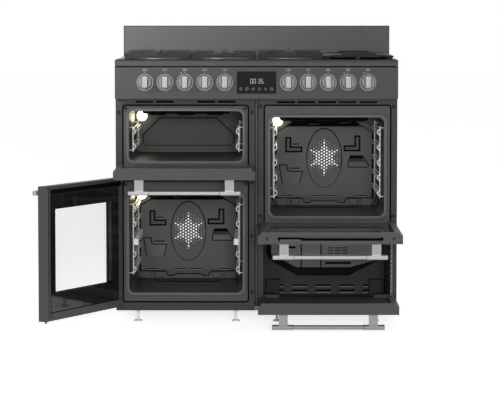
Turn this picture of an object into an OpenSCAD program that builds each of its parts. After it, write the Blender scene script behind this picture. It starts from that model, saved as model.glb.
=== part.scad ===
// Range cooker with a double oven: three ovens, a storage flap and a six-burner gas hob.
// Millimetres. The origin is on the floor under the middle of the cabinet, +Z up, front at -Y.

/* [Cabinet] */
// Depth from the front frames to the back panel
body_d = 600; // [580:10:700]
// Height of the levelling feet
foot_h = 46; // [40:1:80]
// Thickness of the outer sheet
sheet = 2; // [1.5:0.5:3]
// Thickness of the front frames and the oven flanges
frame_t = 3; // [2:0.5:4]
// Width of the gap between the two front frames
column_gap = 13; // [11:1:20]
// Thickness of the centre divider
divider_t = 6; // [4:1:8]

/* [Front] */
// Height of the control panel
panel_h = 114; // [108:1:115]
// How far the control panel and the doors stand proud of the front frames
panel_proud = 43; // [40:1:50]
// Spacing of the control knobs
knob_pitch = 70.2; // [66:0.2:72]
// Distance of the innermost knobs from the middle
knob_inner = 112.3; // [108:0.1:116]
// Height of the knob centres above the panel's bottom edge
knob_rise = 58.3; // [54:0.1:62]
// Radius of the knob discs
knob_r = 23; // [20:0.5:24]
// Width of the clock display
display_w = 139; // [120:1:150]
// Height of the clock display
display_h = 78.5; // [60:0.5:84]

/* [Ovens] */
// Width of the oven cavities
cavity_w = 404; // [390:1:410]
// Height of the two main oven cavities
main_h = 351; // [330:1:355]
// Height of the upper-left oven cavity
upper_h = 178; // [165:1:182]
// Corner radius of the oven cavities
cavity_r = 20; // [12:1:28]
// Room behind the oven cavities for the fans and their motors
rear_room = 143; // [138:1:170]
// Floor of the lower-left oven cavity
lower_z = 111; // [108:1:114]
// Height from the upper-left cavity's roof to the control panel
upper_head = 44.5; // [42:0.5:50]
// Height from the right cavity's roof to the control panel
right_head = 67; // [60:0.5:80]
// Floor of the right oven cavity
right_z = 385; // [383:1:388]
// Room between an oven cavity and the side of the cabinet
side_room = 47; // [45:1:70]
// Room between an oven cavity and the middle of the cabinet
mid_room = 49; // [47:1:60]
// Thickness of the oven liners
liner_t = 3; // [2:0.5:3]

/* [Doors] */
// Gap between a door and the edge of its column
door_side = 5; // [4:0.5:8]
// Thickness of a door without its rim
door_t = 30; // [28:1:32]
// Height of the raised rim inside a door
rim_h = 10; // [8:1:11]
// Width of the raised rim inside a door
rim_w = 18; // [14:1:20]
// Thickness of the outer panel of a door
skin_t = 4; // [3:0.5:5]
// Gap between the closed upper doors and the control panel
door_head = 8; // [4:0.5:11]
// Bottom edge of the lowest doors
door_foot = 62.5; // [60:0.5:66]
// Height of the upper-left cavity's floor above its door's bottom edge
upper_sill = 49.5; // [47:0.5:51]
// Height of the right cavity's floor above its door's bottom edge
right_sill = 56; // [52:0.5:57]
// Gap between two doors, one above the other
door_split = 8.5; // [8:0.5:12]
// Opening angle of the lower-left door
swing = 118; // [100:1:120]
// Diameter of the handle bars
bar_d = 15.5; // [14:0.5:18]
// Length of the handle bars
bar_l = 391; // [360:1:420]
// Distance of the handle bars from the door faces
bar_out = 46.5; // [42:0.5:52]
// Distance of the handle bars below the doors' top edges
bar_drop = 28; // [26:1:34]
// Spacing of the handle brackets
bracket_pitch = 313; // [280:1:330]

/* [Hob] */
// Height of the hob's top sheet above its seat
hob_h = 21; // [18:1:24]
// How far the hob stands proud of the front frames
hob_proud = 40; // [34:1:44]
// Depth of the splashback box
splash_d = 38; // [30:1:48]
// Height of the splashback above the hob's top sheet
splash_h = 115; // [70:5:160]
// Top of the pan supports above the hob's top sheet
support_h = 28; // [26:1:34]
// Width of the cast bars of the pan supports
cast_w = 10; // [8:0.5:12]

/* [Hidden] */
$fn = 48;

cavity_x = cavity_w / 2 + mid_room;
half_w = cavity_x + cavity_w / 2 + side_room;
panel_z = right_z + main_h + right_head;
seat_z = panel_z + panel_h + sheet;
knob_z = panel_z + knob_rise;
door_top = panel_z - door_head;
upper_z = panel_z - upper_head - upper_h;
upper_split = upper_z - upper_sill;
right_split = right_z - right_sill;
front_y = -body_d / 2;
back_y = body_d / 2;
gap = column_gap / 2;
panel_y = front_y - panel_proud;
frame_in = front_y + frame_t;
back_in = back_y - sheet;
hob_z = seat_z + hob_h;
splash_top = hob_z + splash_h;
splash_y = back_y - splash_d;
rear_y = back_y - rear_room;
tray_h = 16;
base_top = foot_h + tray_h;
arc_n = 6;

// A rounded rectangle with corners of radius r, as points from [x0, z0] to [x1, z1]
function rounded(x0, z0, x1, z1, r) = [
    for (c = [[x1 - r, z1 - r, 0], [x0 + r, z1 - r, 90], [x0 + r, z0 + r, 180], [x1 - r, z0 + r, 270]])
        for (i = [0:arc_n])
            [c[0] + r * cos(c[2] + i * 90 / arc_n), c[1] + r * sin(c[2] + i * 90 / arc_n)]];

// Points of a quarter or longer arc about c, from angle a0 to a1
function arc(c, r, a0, a1) = [for (i = [0:arc_n]) c + r * [cos(a0 + (a1 - a0) * i / arc_n),
                                                            sin(a0 + (a1 - a0) * i / arc_n)]];

// A flat outline in X and Z, given a thickness from y0 to y1
module upright(y0, y1) {
    translate([0, y1, 0]) rotate([90, 0, 0]) linear_extrude(y1 - y0) children();
}

// An outline in Y and Z, run along X from x0 to x1
module along_x(x0, x1) {
    translate([x0, 0, 0]) rotate([90, 0, 90]) linear_extrude(x1 - x0) children();
}

// An outline in X and Y, run up from z0 to z1
module rise(z0, z1) {
    translate([0, 0, z0]) linear_extrude(z1 - z0) children();
}

// A box between two corners
module box(a, b) {
    translate(a) cube(b - a);
}

// A rectangle between two corners
module rect(a, b) {
    translate(a) square(b - a);
}

// A rod along Y, X or Z
module rod_y(x, z, r, y0, y1) {
    translate([x, y1, z]) rotate([90, 0, 0]) cylinder(r = r, h = y1 - y0);
}

module rod_x(y, z, r, x0, x1) {
    translate([x0, y, z]) rotate([0, 90, 0]) cylinder(r = r, h = x1 - x0);
}

module rod_z(x, y, r, z0, z1) {
    translate([x, y, z0]) cylinder(r = r, h = z1 - z0);
}

// ---- Cabinet ----

foot_r = 15;
foot_x = [74, half_w - 75];
foot_y = body_d / 2 - 60;

module base_frame() {
    wall = sheet;
    color("#9a9c9e") difference() {
        box([-half_w, frame_in, foot_h], [half_w, back_in, base_top]);
        box([-half_w + wall, frame_in + wall, foot_h + wall],
            [half_w - wall, back_in - wall, base_top + 1]);
    }
}

module levelling_feet() {
    stem_r = 5;
    pad_h = 6;
    cup_r = 17;
    cup_h = 7;
    bevel = 3;
    color("#c9cacb")
        for (sx = [-1, 1], x = foot_x, y = [-foot_y, foot_y])
            translate([sx * x, y, 0]) rotate_extrude()
                polygon([[0, 0], [foot_r, 0], [foot_r, pad_h - bevel], [foot_r - bevel, pad_h],
                         [stem_r, pad_h], [stem_r, foot_h - cup_h], [cup_r - bevel, foot_h - cup_h],
                         [cup_r, foot_h - cup_h + bevel], [cup_r, foot_h], [0, foot_h]]);
}

module side_panels() {
    flange = 18;
    color("#8e9092")
        for (side = [0, 1]) mirror([side, 0, 0]) {
            box([-half_w, frame_in, base_top], [-half_w + sheet, back_in, seat_z]);
            box([-half_w + sheet, frame_in, seat_z - sheet],
                [-half_w + flange, back_in, seat_z]);
        }
}

vent_l = 65.4;
vent_h = 7;
inlet_x = half_w - 60;
inlet_z = knob_z - 0.3;
gland_x = 70 - half_w;
gland_z = 160;

// A slot with round ends, centred on [x, z]
module slot(x, z, l, h) {
    translate([x, z]) {
        square([l - h, h], center = true);
        for (s = [-1, 1]) translate([s * (l - h) / 2, 0]) circle(d = h);
    }
}

module back_panel() {
    louvre = [24, 4];
    color("#8b8d8f") upright(back_in, back_y) difference() {
        rect([-half_w, foot_h], [half_w, seat_z]);
        // Cooling louvres behind the fans
        for (x = [-cavity_x, cavity_x], i = [-2:2], k = [0:4])
            slot(x + 36 * i, 640 + 14 * k, louvre.x, louvre.y);
        translate([inlet_x, inlet_z]) circle(r = 12);
        rect([gland_x - 36, gland_z - 26], [gland_x + 36, gland_z + 26]);
    }
}

fold = 25;
opening_r = 7;
left_vents = [-146.8, -73.8, 72.7, 145.4];
right_vents = [-146, -73, 0, 73, 146];
left_vent_z = panel_z - 12;
right_vent_z = panel_z - 13.5;

// An opening of a front frame round a cavity of height h, [x0, z0, x1, z1]
function open_round(cx, z, h, left, below, right, above) =
    [cx - cavity_w / 2 - left, z - below, cx + cavity_w / 2 + right, z + h + above];

upper_open = open_round(-cavity_x, upper_z, upper_h, 22.5, 25.5, 21.5, 21.5);
lower_open = open_round(-cavity_x, lower_z, main_h, 22.5, 35, 21.5, 49);
right_open = open_round(cavity_x, right_z, main_h, 22.5, 35, 24.5, 44);
storage_open = [gap + 16.5, base_top + 7, half_w - 22, right_z - 67];

function open_points(o, grow = 0) =
    rounded(o[0] - grow, o[1] - grow, o[2] + grow, o[3] + grow, opening_r);

// The folded edges behind a front frame: the outer one lies inside the side panel
module frame_folds() {
    box([gap, frame_in, base_top], [gap + sheet, frame_in + fold, panel_z]);
    box([half_w - 2 * sheet, frame_in, base_top],
        [half_w - sheet, frame_in + fold, panel_z]);
}

module left_front_frame() {
    color("#a3a5a7") {
        upright(front_y, frame_in) difference() {
            rect([-half_w, foot_h], [-gap, panel_z]);
            polygon(open_points(upper_open));
            polygon(open_points(lower_open));
            for (x = left_vents) slot(x - cavity_x, left_vent_z, vent_l, vent_h);
        }
        mirror([1, 0, 0]) frame_folds();
    }
}

module right_front_frame() {
    color("#a3a5a7") {
        upright(front_y, frame_in) difference() {
            rect([gap, foot_h], [half_w, panel_z]);
            polygon(open_points(right_open));
            polygon(open_points(storage_open));
            for (x = right_vents) slot(x + cavity_x, right_vent_z, vent_l, vent_h);
        }
        frame_folds();
    }
}

// A folded front edge that shows between the columns, on a thin wall between the ovens
module centre_divider() {
    edge_d = 26;
    color("#b8babc") difference() {
        box([-divider_t / 2, front_y + 1, base_top], [divider_t / 2, back_in, panel_z]);
        for (s = [0, 1]) mirror([s, 0, 0])
            box([sheet / 2, front_y + edge_d, base_top - 1],
                [divider_t, back_in - edge_d, panel_z + 1]);
    }
}

// Small round heads on the front frames and on the faces of the oven flanges, [x, z]
frame_screw_at = [
    [11 - half_w, upper_z + 172.1], [-gap - 9.3, upper_z + 172.1], [-gap - 8.9, upper_split - 27.3],
    [-gap - 10.5, lower_z + 202.7], [-gap - 9.5, lower_z + 1.3],
    [gap + 7.1, panel_z - 29], [half_w - 13.3, panel_z - 29],
    [gap + 7.4, right_z - 1.3], [half_w - 14, right_z - 1.3],
    [upper_open[0] + 10.5, upper_open[3] - 12], [upper_open[2] - 11.5, upper_open[3] - 12],
    [lower_open[0] + 9.5, lower_open[3] - 14], [lower_open[2] - 11.5, lower_open[3] - 12]];

module frame_screws() {
    head_r = 3.5;
    head_h = 1.5;
    color("#c9cacb")
        for (p = frame_screw_at) rod_y(p.x, p.y, head_r, front_y - head_h, front_y);
}

spindle_r = 3;
spindle_hole_r = 4.5;
knob_xs = [for (i = [4:-1:0]) -(knob_inner + knob_pitch * i),
           for (i = [0:4]) knob_inner + knob_pitch * i];
oven_knob_at = [2, 7, 8, 9];
gas_knob_at = [0, 1, 3, 4, 5, 6];
display_z = panel_z + 57.5;
display_lip = 4;

module control_panel() {
    color("#8f9193") difference() {
        box([-half_w, panel_y, panel_z], [half_w, frame_in, panel_z + panel_h]);
        box([-half_w + sheet, panel_y + sheet, panel_z + sheet],
            [half_w - sheet, frame_in + 1, panel_z + panel_h - sheet]);
        for (x = knob_xs) rod_y(x, knob_z, spindle_hole_r, panel_y - 1, panel_y + sheet + 1);
        box([-display_w / 2 + display_lip, panel_y - 1, display_z - display_h / 2 + display_lip],
            [display_w / 2 - display_lip, panel_y + sheet + 1,
             display_z + display_h / 2 - display_lip]);
    }
}

module display_unit() {
    glass_t = 2;
    box_in = display_lip + 1;
    color("#232527") {
        upright(panel_y - glass_t, panel_y)
            polygon(rounded(-display_w / 2, display_z - display_h / 2,
                            display_w / 2, display_z + display_h / 2, 3));
        box([-display_w / 2 + box_in, panel_y, display_z - display_h / 2 + box_in],
            [display_w / 2 - box_in, panel_y + 32, display_z + display_h / 2 - box_in]);
    }
}

module terminal_box() {
    wall = 2;
    color("#2a2b2c") difference() {
        union() {
            box([gland_x - 40, back_y, gland_z - 30], [gland_x + 40, back_y + wall, gland_z + 30]);
            box([gland_x - 35, back_in - 30, gland_z - 25], [gland_x + 35, back_y, gland_z + 25]);
            rod_y(gland_x, gland_z, 14, back_y + wall, back_y + 20);
        }
        rod_y(gland_x, gland_z, 5, back_y - 20, back_y + 21);
    }
}

// ---- Hob top and splashback ----

hob_y = front_y - hob_proud;
nose_r = 9;

module hob_top() {
    bore_r = 20;
    color("#b4b6b8") difference() {
        union() {
            along_x(-half_w, half_w)
                polygon(concat([[hob_y + sheet, seat_z], [hob_y, seat_z]],
                               arc([hob_y + nose_r, hob_z - nose_r], nose_r, 180, 90),
                               [[splash_y, hob_z], [splash_y, hob_z - sheet]],
                               arc([hob_y + nose_r, hob_z - nose_r], nose_r - sheet, 90, 180)));
            for (side = [0, 1]) mirror([side, 0, 0])
                box([-half_w, hob_y + sheet, seat_z],
                    [-half_w + sheet, splash_y, hob_z - sheet]);
        }
        for (b = burners) rod_z(b[0], b[1], bore_r, seat_z, hob_z + 1);
    }
}

module splashback() {
    slot_l = 60;
    color("#a9abad") difference() {
        box([-half_w, splash_y, seat_z], [half_w, back_y, splash_top]);
        box([-half_w + sheet, splash_y + sheet, seat_z - 1],
            [half_w - sheet, back_y - sheet, splash_top - sheet]);
        // Oven outlet slots in the top face
        for (i = [-5:5])
            box([i * 80 - slot_l / 2, splash_y + 14, splash_top - sheet - 1],
                [i * 80 + slot_l / 2, splash_y + 24, splash_top + 1]);
    }
}

// ---- Ovens ----

fan_rise = 179;
recess_r = 100;
recess_d = 48;
shaft_r = 4;
lamp_r = 20;
flange_grow = 9;
// The groove round a flange's face, and the room between that face and its seal
face_gap = 4;
seal_gap = 2;
seal_w = 9.5;
seal_out = 15.5;
left_fan_at = [-cavity_x - 3.5, lower_z + fan_rise];
right_fan_at = [cavity_x + 2, right_z + fan_rise];
// Oven lamps on the rear walls, [x, z]
upper_lamp = [-cavity_x - cavity_w / 2 + 26, upper_z + upper_h - 37.5];
lower_lamp = [-cavity_x - cavity_w / 2 + 24, lower_z + main_h - 34];
right_lamp = [cavity_x - cavity_w / 2 + 30, right_z + main_h - 34];

module cavity(cx, z, h, grow = 0) {
    polygon(rounded(cx - cavity_w / 2 - grow, z - grow, cx + cavity_w / 2 + grow,
                    z + h + grow, cavity_r + grow));
}

// An oven liner: a flange with a raised face in its frame's opening, and a rounded box behind
module liner(cx, z, h, open, lamp) {
    difference() {
        union() {
            upright(frame_in, frame_in + liner_t) polygon(open_points(open, flange_grow));
            upright(front_y, frame_in) difference() {
                polygon(open_points(open, -face_gap));
                cavity(cx, z, h, seal_w + seal_gap);
            }
            upright(frame_in, rear_y + liner_t) cavity(cx, z, h, liner_t);
            children(0);
        }
        upright(frame_in - 1, rear_y) cavity(cx, z, h);
        rod_y(lamp.x, lamp.y, lamp_r - 4, rear_y - 1, rear_y + liner_t + 1);
        children(1);
    }
}

// The round recess in a rear wall that holds the fan, and its inside
module fan_recess(at) {
    rod_y(at.x, at.y, recess_r + liner_t, rear_y, rear_y + recess_d + liner_t);
}

module fan_recess_inside(at) {
    rod_y(at.x, at.y, recess_r, rear_y - 1, rear_y + recess_d);
    rod_y(at.x, at.y, shaft_r + 2, rear_y, rear_y + recess_d + liner_t + 1);
}

rear_emboss_d = 5;

// The eight-sided emboss of the upper oven's rear wall, with its outline grown by g
module rear_emboss(y0, y1, g) {
    left = 29 - cavity_w / 2 - g;
    right = cavity_w / 2 - 35 + g;
    top = upper_h - 45.5 + g;
    upright(y0, y1) translate([-cavity_x, upper_z])
        polygon([[left + 63, top], [right - 64.5, top], [right, 69.5 + g], [right, 41.5],
                 [right - 12 - g, 29.5 - g], [left + 12 + g, 29.5 - g], [left, 41.5],
                 [left, 69.5 + g]]);
}

module upper_left_oven() {
    color("#4d4f51") liner(-cavity_x, upper_z, upper_h, upper_open, upper_lamp) {
        rear_emboss(rear_y, rear_y + rear_emboss_d + liner_t, liner_t);
        rear_emboss(rear_y - 1, rear_y + rear_emboss_d, 0);
    }
}

// Pressings behind the openings of a fan cover and in the corners above it
ell_w = 21;
ell_edge = 5;
ell_left = [[-83, -145], [21, 77]];
ell_right = [[73, 134], [25, 83]];
rib_w = 4;
rib_h = 6;
rib_a = [112, 141];
rib_b = [184, 99];
rib_pitch = 7;
lip_at = [[-37, 124, 40], [78, 130, 42]];

// An L: a bar of width w from x[0] to x[1], with an arm up at x[1]; all edges moved in by g
module ell(at, x, z, g) {
    s = sign(x[1] - x[0]);
    translate(at)
        polygon([[x[0] + s * g, z[0] + g], [x[1] - s * g, z[0] + g], [x[1] - s * g, z[1] - g],
                 [x[1] - s * (ell_w - g), z[1] - g], [x[1] - s * (ell_w - g), z[0] + ell_w - g],
                 [x[0] + s * g, z[0] + ell_w - g]]);
}

module rear_pressings(at) {
    upright(rear_y - cover_out + cover_t, rear_y) {
        ell(at, ell_left[0], ell_left[1], ell_edge);
        ell(at, ell_right[0], ell_right[1], ell_edge);
    }
    run = rib_b - rib_a;
    upright(rear_y - rib_h, rear_y) translate(at) {
        for (m = [0, 1], k = [0, 1]) mirror([m, 0]) translate(rib_a + [0, rib_pitch * k])
            rotate(atan2(run.y, run.x)) translate([0, -rib_w / 2]) square([norm(run), rib_w]);
        for (l = lip_at) translate([l[0] - l[2] / 2, l[1]]) square([l[2], 2]);
    }
}

module lower_left_oven() {
    color("#4d4f51") liner(-cavity_x, lower_z, main_h, lower_open, lower_lamp) {
        fan_recess(left_fan_at);
        fan_recess_inside(left_fan_at);
    }
    color("#4d4f51") rear_pressings(left_fan_at);
}

module right_oven() {
    color("#4d4f51") liner(cavity_x, right_z, main_h, right_open, right_lamp) {
        fan_recess(right_fan_at);
        fan_recess_inside(right_fan_at);
    }
    color("#4d4f51") rear_pressings(right_fan_at);
}

storage_rear = rear_y - 5;
storage_r = 5;
baffle_y = back_y - 70;
rear_slot = [58, 5];
rear_slot_x = [74:88:426];
rear_slot_z = [68, 81];
lip_out = 4;

// The lower edge of the rear cut-out of the storage space and of the baffle behind it
storage_cut = [[37, 300], [37, 202], [50, 180], [154, 121], [345, 121], [454, 178], [466, 190],
               [466, 300]];
baffle_edge = [[56, 321], [56, 195], [150, 145], [353, 145], [458, 174], [470, 190], [470, 321]];

// A steel box whose floor lies on the base frame, with a vented baffle behind its rear wall
module storage_liner() {
    t = liner_t;
    y0 = frame_in + frame_t;
    rear = storage_rear;
    floor_z = foot_h + sheet + liner_t;
    x0 = storage_open[0];
    x1 = storage_open[2];
    top = storage_open[3];
    color("#7d7f81") {
        difference() {
            upright(y0, rear + t) polygon(rounded(x0 - t, floor_z - t, x1 + t, top + t, storage_r));
            upright(y0 - 1, rear) polygon(rounded(x0, floor_z, x1, top, storage_r));
            upright(rear - 1, rear + t + 1) {
                polygon(storage_cut);
                for (x = rear_slot_x, z = rear_slot_z) slot(x, z, rear_slot.x, rear_slot.y);
            }
            // Slots of the right wall
            for (i = [0:3], k = [0:8])
                box([x1 - 1, y0 + 30 + 34 * i, 108 + 22 * k],
                    [x1 + t + 1, y0 + 50 + 34 * i, 117 + 22 * k]);
        }
        difference() {
            upright(baffle_y, baffle_y + sheet) polygon(baffle_edge);
            upright(baffle_y - 1, baffle_y + sheet + 1) {
                for (i = [0:2], k = [0:2]) slot(280 + 27 * i, 198 + 10 * k, 20, 4);
                slot(308, 161, 98, 9);
                slot(115, 220, 66, 8);
            }
            // Seams between the baffle's three panels
            for (x = [169, 244])
                box([x - 1.5, baffle_y - 1, 100], [x + 1.5, baffle_y + sheet / 2, top]);
        }
        // Folded lips over the louvres of the rear wall
        for (x = rear_slot_x, z = rear_slot_z)
            box([x - rear_slot.x / 2 + rear_slot.y, rear - lip_out, z + rear_slot.y / 2],
                [x + rear_slot.x / 2 - rear_slot.y, rear, z + rear_slot.y / 2 + 1.5]);
        // Side folds that hold the baffle against the back panel
        for (x = [56, 470 - sheet])
            box([x, baffle_y + sheet, 200], [x + sheet, back_in, 321]);
        // Boxes over the flap hinges in the front corners of the floor
        for (x = [x0, x1 - 58]) box([x, y0 + 4, floor_z], [x + 58, y0 + 60, floor_z + 50]);
    }
}

// A rolled seal round a cavity's mouth, from the flange to just short of the door's glass
module seal(cx, z, h) {
    lip = 3;
    difference() {
        union() {
            upright(frame_in - seal_out + lip, frame_in) cavity(cx, z, h, seal_w);
            upright(frame_in - seal_out, frame_in - seal_out + lip)
                cavity(cx, z, h, seal_w - lip / 2);
        }
        upright(frame_in - seal_out - 1, frame_in + 1) cavity(cx, z, h);
    }
}

module door_seals() {
    color("#b9bbbc") {
        seal(-cavity_x, upper_z, upper_h);
        seal(-cavity_x, lower_z, main_h);
        seal(cavity_x, right_z, main_h);
    }
}

rack_r = 2;
rack_off = 13;
rack_y0 = front_y + 32;
rack_y1 = rear_y - 26;

// One wire rack on a side wall; side is 1 on a left wall and -1 on a right one
module wire_rack(cx, z, levels, first, pitch, side) {
    pair = 15;
    wall = cx - side * cavity_w / 2;
    x = wall + side * rack_off;
    top = z + first + pitch * (levels - 1) + pair + 12;
    bottom = z + first - 14;
    for (y = [rack_y0, rack_y1]) rod_z(x, y, rack_r + 0.5, bottom, top);
    for (i = [0:levels - 1]) {
        for (k = [0, 1])
            rod_y(x, z + first + pitch * i + pair * k, rack_r, rack_y0 - 8, rack_y1 + 6);
        // The bend that joins a pair of wires at the front
        rod_z(x, rack_y0 - 8 + rack_r, rack_r - 0.3, z + first + pitch * i,
              z + first + pitch * i + pair);
    }
    for (y = [rack_y0, rack_y1], h = [bottom + 6, top - 6])
        rod_x(y, h, rack_r, min(wall, x), max(wall, x));
}

rail_z = 290;
rail_h = 22;
rail_w = 12;
rail_wall = 2;
rail_fit = 0.3;
rail_y0 = front_y + 20;
rail_y1 = rear_y - 40;
guide_in = rack_off + rack_r + 0.5;

// A fixed guide for a telescopic rail: a channel open to the inside, clipped to its rack
module rail_guide(side) {
    x0 = guide_in - cavity_w / 2;
    translate([-cavity_x, 0, 0]) mirror([side, 0, 0]) difference() {
        box([x0, rail_y0 + 8, rail_z - rail_h / 2], [x0 + rail_w, rail_y1, rail_z + rail_h / 2]);
        box([x0 + rail_wall, rail_y0, rail_z - rail_h / 2 + rail_wall],
            [x0 + rail_w + 1, rail_y1 + 1, rail_z + rail_h / 2 - rail_wall]);
    }
}

module side_racks() {
    color("#c4c5c6") {
        for (side = [-1, 1]) {
            wire_rack(-cavity_x, upper_z, 2, 45, 52, side);
            wire_rack(-cavity_x, lower_z, 5, 75, 54, side);
            wire_rack(cavity_x, right_z, 5, 75, 54, side);
        }
        for (side = [0, 1]) rail_guide(side);
    }
}

// A telescopic rail: a bar that runs in the channel, with a stop at its front
module rail(side) {
    x0 = guide_in - cavity_w / 2 + rail_wall + rail_fit;
    half = rail_h / 2 - rail_wall - rail_fit;
    translate([-cavity_x, 0, 0]) mirror([side, 0, 0]) {
        box([x0, rail_y0 + 3, rail_z - half], [x0 + 12, rail_y1 - 5, rail_z + half]);
        box([guide_in - cavity_w / 2, rail_y0, rail_z - rail_h / 2],
            [guide_in - cavity_w / 2 + 16, rail_y0 + 3, rail_z + rail_h / 2]);
    }
}

module left_rail() { color("#c9cacb") rail(0); }

module right_rail() { color("#c9cacb") rail(1); }

cover_w = 355;
cover_h = 263;
cover_cut = [41, 25];
cover_out = 9;
cover_t = 1.5;
cover_rise = 33;
hole_r = 3;
hole_pitch = 11.2;
rings = 6;
ellipse_r = [67, 112];
sunk = 4;

// Centres of a hexagon of holes, ring by ring, with a column of them upright
hole_at = [for (q = [-rings:rings], r = [max(-rings, -q - rings):min(rings, -q + rings)])
    [q * hole_pitch * sqrt(3) / 2, (r + q / 2) * hole_pitch]];

// Two pockets that slope back from their lower edges, as outlines about the fan's axis
pocket_left = [[-168, -26], [-139, -26], [-139, -43], [-132, -50], [-81, -50], [-91, -94],
               [-157, -94]];
pocket_right = [[97, 8], [143, 8], [166, -27], [162, -35], [91, -35], [88, -29]];
// Slots of the cover, [x, z, length, height] from the fan's axis
cover_slots = [[-106, 51, 26, 5], [-110, -39, 43, 5], [-137, -142, 46, 3], [-28, -142, 46, 3],
               [28, -142, 46, 3], [137, -142, 46, 3]];

module oval(at, g) {
    polygon([for (a = [0:10:350])
        [at.x + (ellipse_r.x - g) * cos(a), at.y + (ellipse_r.y - g) * sin(a)]]);
}

// The cover's outline, with its top corners cut and its edges moved in by g
module cover_outline(at, g) {
    x = cover_w / 2 - g;
    z0 = cover_rise - fan_rise + g;
    z1 = z0 + cover_h - 2 * g;
    translate(at) polygon([[-x, z0], [x, z0], [x, z1 - cover_cut.y], [x - cover_cut.x, z1],
                           [cover_cut.x - x, z1], [-x, z1 - cover_cut.y]]);
}

// The sloping floor of a pocket, from the cover's face at z0 to the rear wall at z1
module pocket_floor(at, outline, z0, z1) {
    y0 = rear_y - cover_out;
    intersection() {
        upright(y0, rear_y) translate(at) polygon(outline);
        along_x(at.x - cover_w / 2, at.x + cover_w / 2)
            polygon([[y0, at.y + z0], [rear_y - cover_t, at.y + z1], [rear_y, at.y + z1],
                     [y0 + cover_t, at.y + z0]]);
    }
}

// A folded cover over the fan, with a sunk oval, a hexagon of holes and openings for the
// rear wall's pressings
module fan_cover(at) {
    y0 = rear_y - cover_out;
    difference() {
        union() {
            difference() {
                upright(y0, rear_y) cover_outline(at, 0);
                upright(y0 + cover_t, rear_y + 1) cover_outline(at, cover_t);
            }
            upright(y0, y0 + sunk + cover_t) oval(at, 0);
        }
        upright(y0 - 1, y0 + sunk) oval(at, cover_t);
        for (h = hole_at)
            rod_y(at.x + h.x, at.y + h.y, hole_r, y0, rear_y, $fn = 16);
        upright(y0 - 1, y0 + cover_t + 1) {
            ell(at, ell_left[0], ell_left[1], 0);
            ell(at, ell_right[0], ell_right[1], 0);
            translate(at) {
                polygon(pocket_left);
                polygon(pocket_right);
            }
            for (c = cover_slots) slot(at.x + c[0], at.y + c[1], c[2], c[3]);
        }
    }
    pocket_floor(at, pocket_left, -94, -26);
    pocket_floor(at, pocket_right, -35, 8);
}

// The stepped strip at the foot of the rear wall, with two screwed boxes
module floor_cover(at) {
    z0 = at.y - fan_rise;
    strip_out = 26;
    box_x = 115;
    box_w = 48;
    box_out = 3;
    upright(rear_y - strip_out, rear_y)
        polygon([[at.x - 176, z0], [at.x + 176, z0], [at.x + 176, z0 + 30], [at.x + 86, z0 + 30],
                 [at.x + 74, z0 + 12], [at.x + 56, z0 + 12], [at.x + 46, z0 + 19],
                 [at.x - 46, z0 + 19], [at.x - 56, z0 + 12], [at.x - 74, z0 + 12],
                 [at.x - 86, z0 + 30], [at.x - 176, z0 + 30]]);
    for (s = [-1, 1]) difference() {
        union() {
            box([at.x + s * box_x - box_w / 2, rear_y - strip_out - box_out, z0 + 8],
                [at.x + s * box_x + box_w / 2, rear_y - strip_out, z0 + 27]);
            rod_y(at.x + s * (box_x + 11), z0 + 18, 3.5, rear_y - strip_out - box_out - 1.5,
                  rear_y - strip_out);
        }
        upright(rear_y - strip_out - box_out - 1, rear_y - strip_out)
            slot(at.x + s * (box_x - 8), z0 + 18, 16, 3);
    }
}

module fan_covers() {
    color("#5b5d5f") for (at = [left_fan_at, right_fan_at]) {
        fan_cover(at);
        floor_cover(at);
    }
}

element_r = 3.5;

// A grill element under a roof: runs along Y joined by bends, hung from two straps
module grill(cx, roof) {
    drop = 16;
    reach = 130;
    y0 = front_y + 90;
    y1 = rear_y - 70;
    z = roof - drop;
    runs = [for (i = [0:5]) cx - reach + 2 * reach * i / 5];
    for (x = runs) rod_y(x, z, element_r, y0, y1);
    for (i = [0:4])
        rod_x(i % 2 == 0 ? y0 : y1, z, element_r, runs[i] - element_r, runs[i + 1] + element_r);
    for (y = [y0 + 40, y1 - 40])
        box([cx - reach - 12, y - 6, z + element_r - 1], [cx + reach + 12, y + 6, z + element_r + 1]);
    for (y = [y0 + 40, y1 - 40], s = [-1, 1])
        box([cx + s * (reach + 10) - 3, y - 5, z + element_r], [cx + s * (reach + 10) + 3, y + 5, roof]);
}

// The dark shield at the back of a roof, with slanted ends and a pointed tab
module grill_shield(cx, roof, h, tab) {
    tab_x = 35;
    upright(rear_y - 14, rear_y - 12)
        polygon([[cx - 178, roof], [cx + 178, roof], [cx + 160, roof - h],
                 [cx + tab_x + tab, roof - h], [cx + tab_x, roof - h - tab],
                 [cx + tab_x - tab, roof - h], [cx - 160, roof - h]]);
}

module grill_elements() {
    color("#303234") {
        grill(-cavity_x, upper_z + upper_h);
        grill(-cavity_x, lower_z + main_h);
        grill(cavity_x, right_z + main_h);
        grill_shield(-cavity_x, upper_z + upper_h, 20, 0);
        grill_shield(-cavity_x, lower_z + main_h, 34, 13);
        grill_shield(cavity_x, right_z + main_h, 34, 13);
    }
}

ring_r = 88;

module ring_elements() {
    y = rear_y + 22;
    color("#7a6f66") for (at = [left_fan_at, right_fan_at]) {
        translate([at.x, y, at.y]) rotate([90, 0, 0]) rotate_extrude()
            translate([ring_r, 0]) circle(r = element_r);
        for (a = [60, 180, 300])
            rod_y(at.x + ring_r * cos(a), at.y + ring_r * sin(a), element_r - 0.5, y,
                  rear_y + recess_d);
    }
}

module oven_lamps() {
    color("#e8dcc0") for (p = [upper_lamp, lower_lamp, right_lamp]) {
        translate([p.x, rear_y, p.y]) rotate([90, 0, 0]) rotate_extrude()
            polygon([[0, 0], [lamp_r, 0], [lamp_r, 3], [lamp_r - 4, 8], [0, 11]]);
        rod_y(p.x, p.y, lamp_r - 5, rear_y, rear_y + 34);
    }
}

blade_r = 72;
blades = 12;
fan_y0 = rear_y + 8;
fan_y1 = rear_y + 38;
fan_fit = 0.05;

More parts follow.
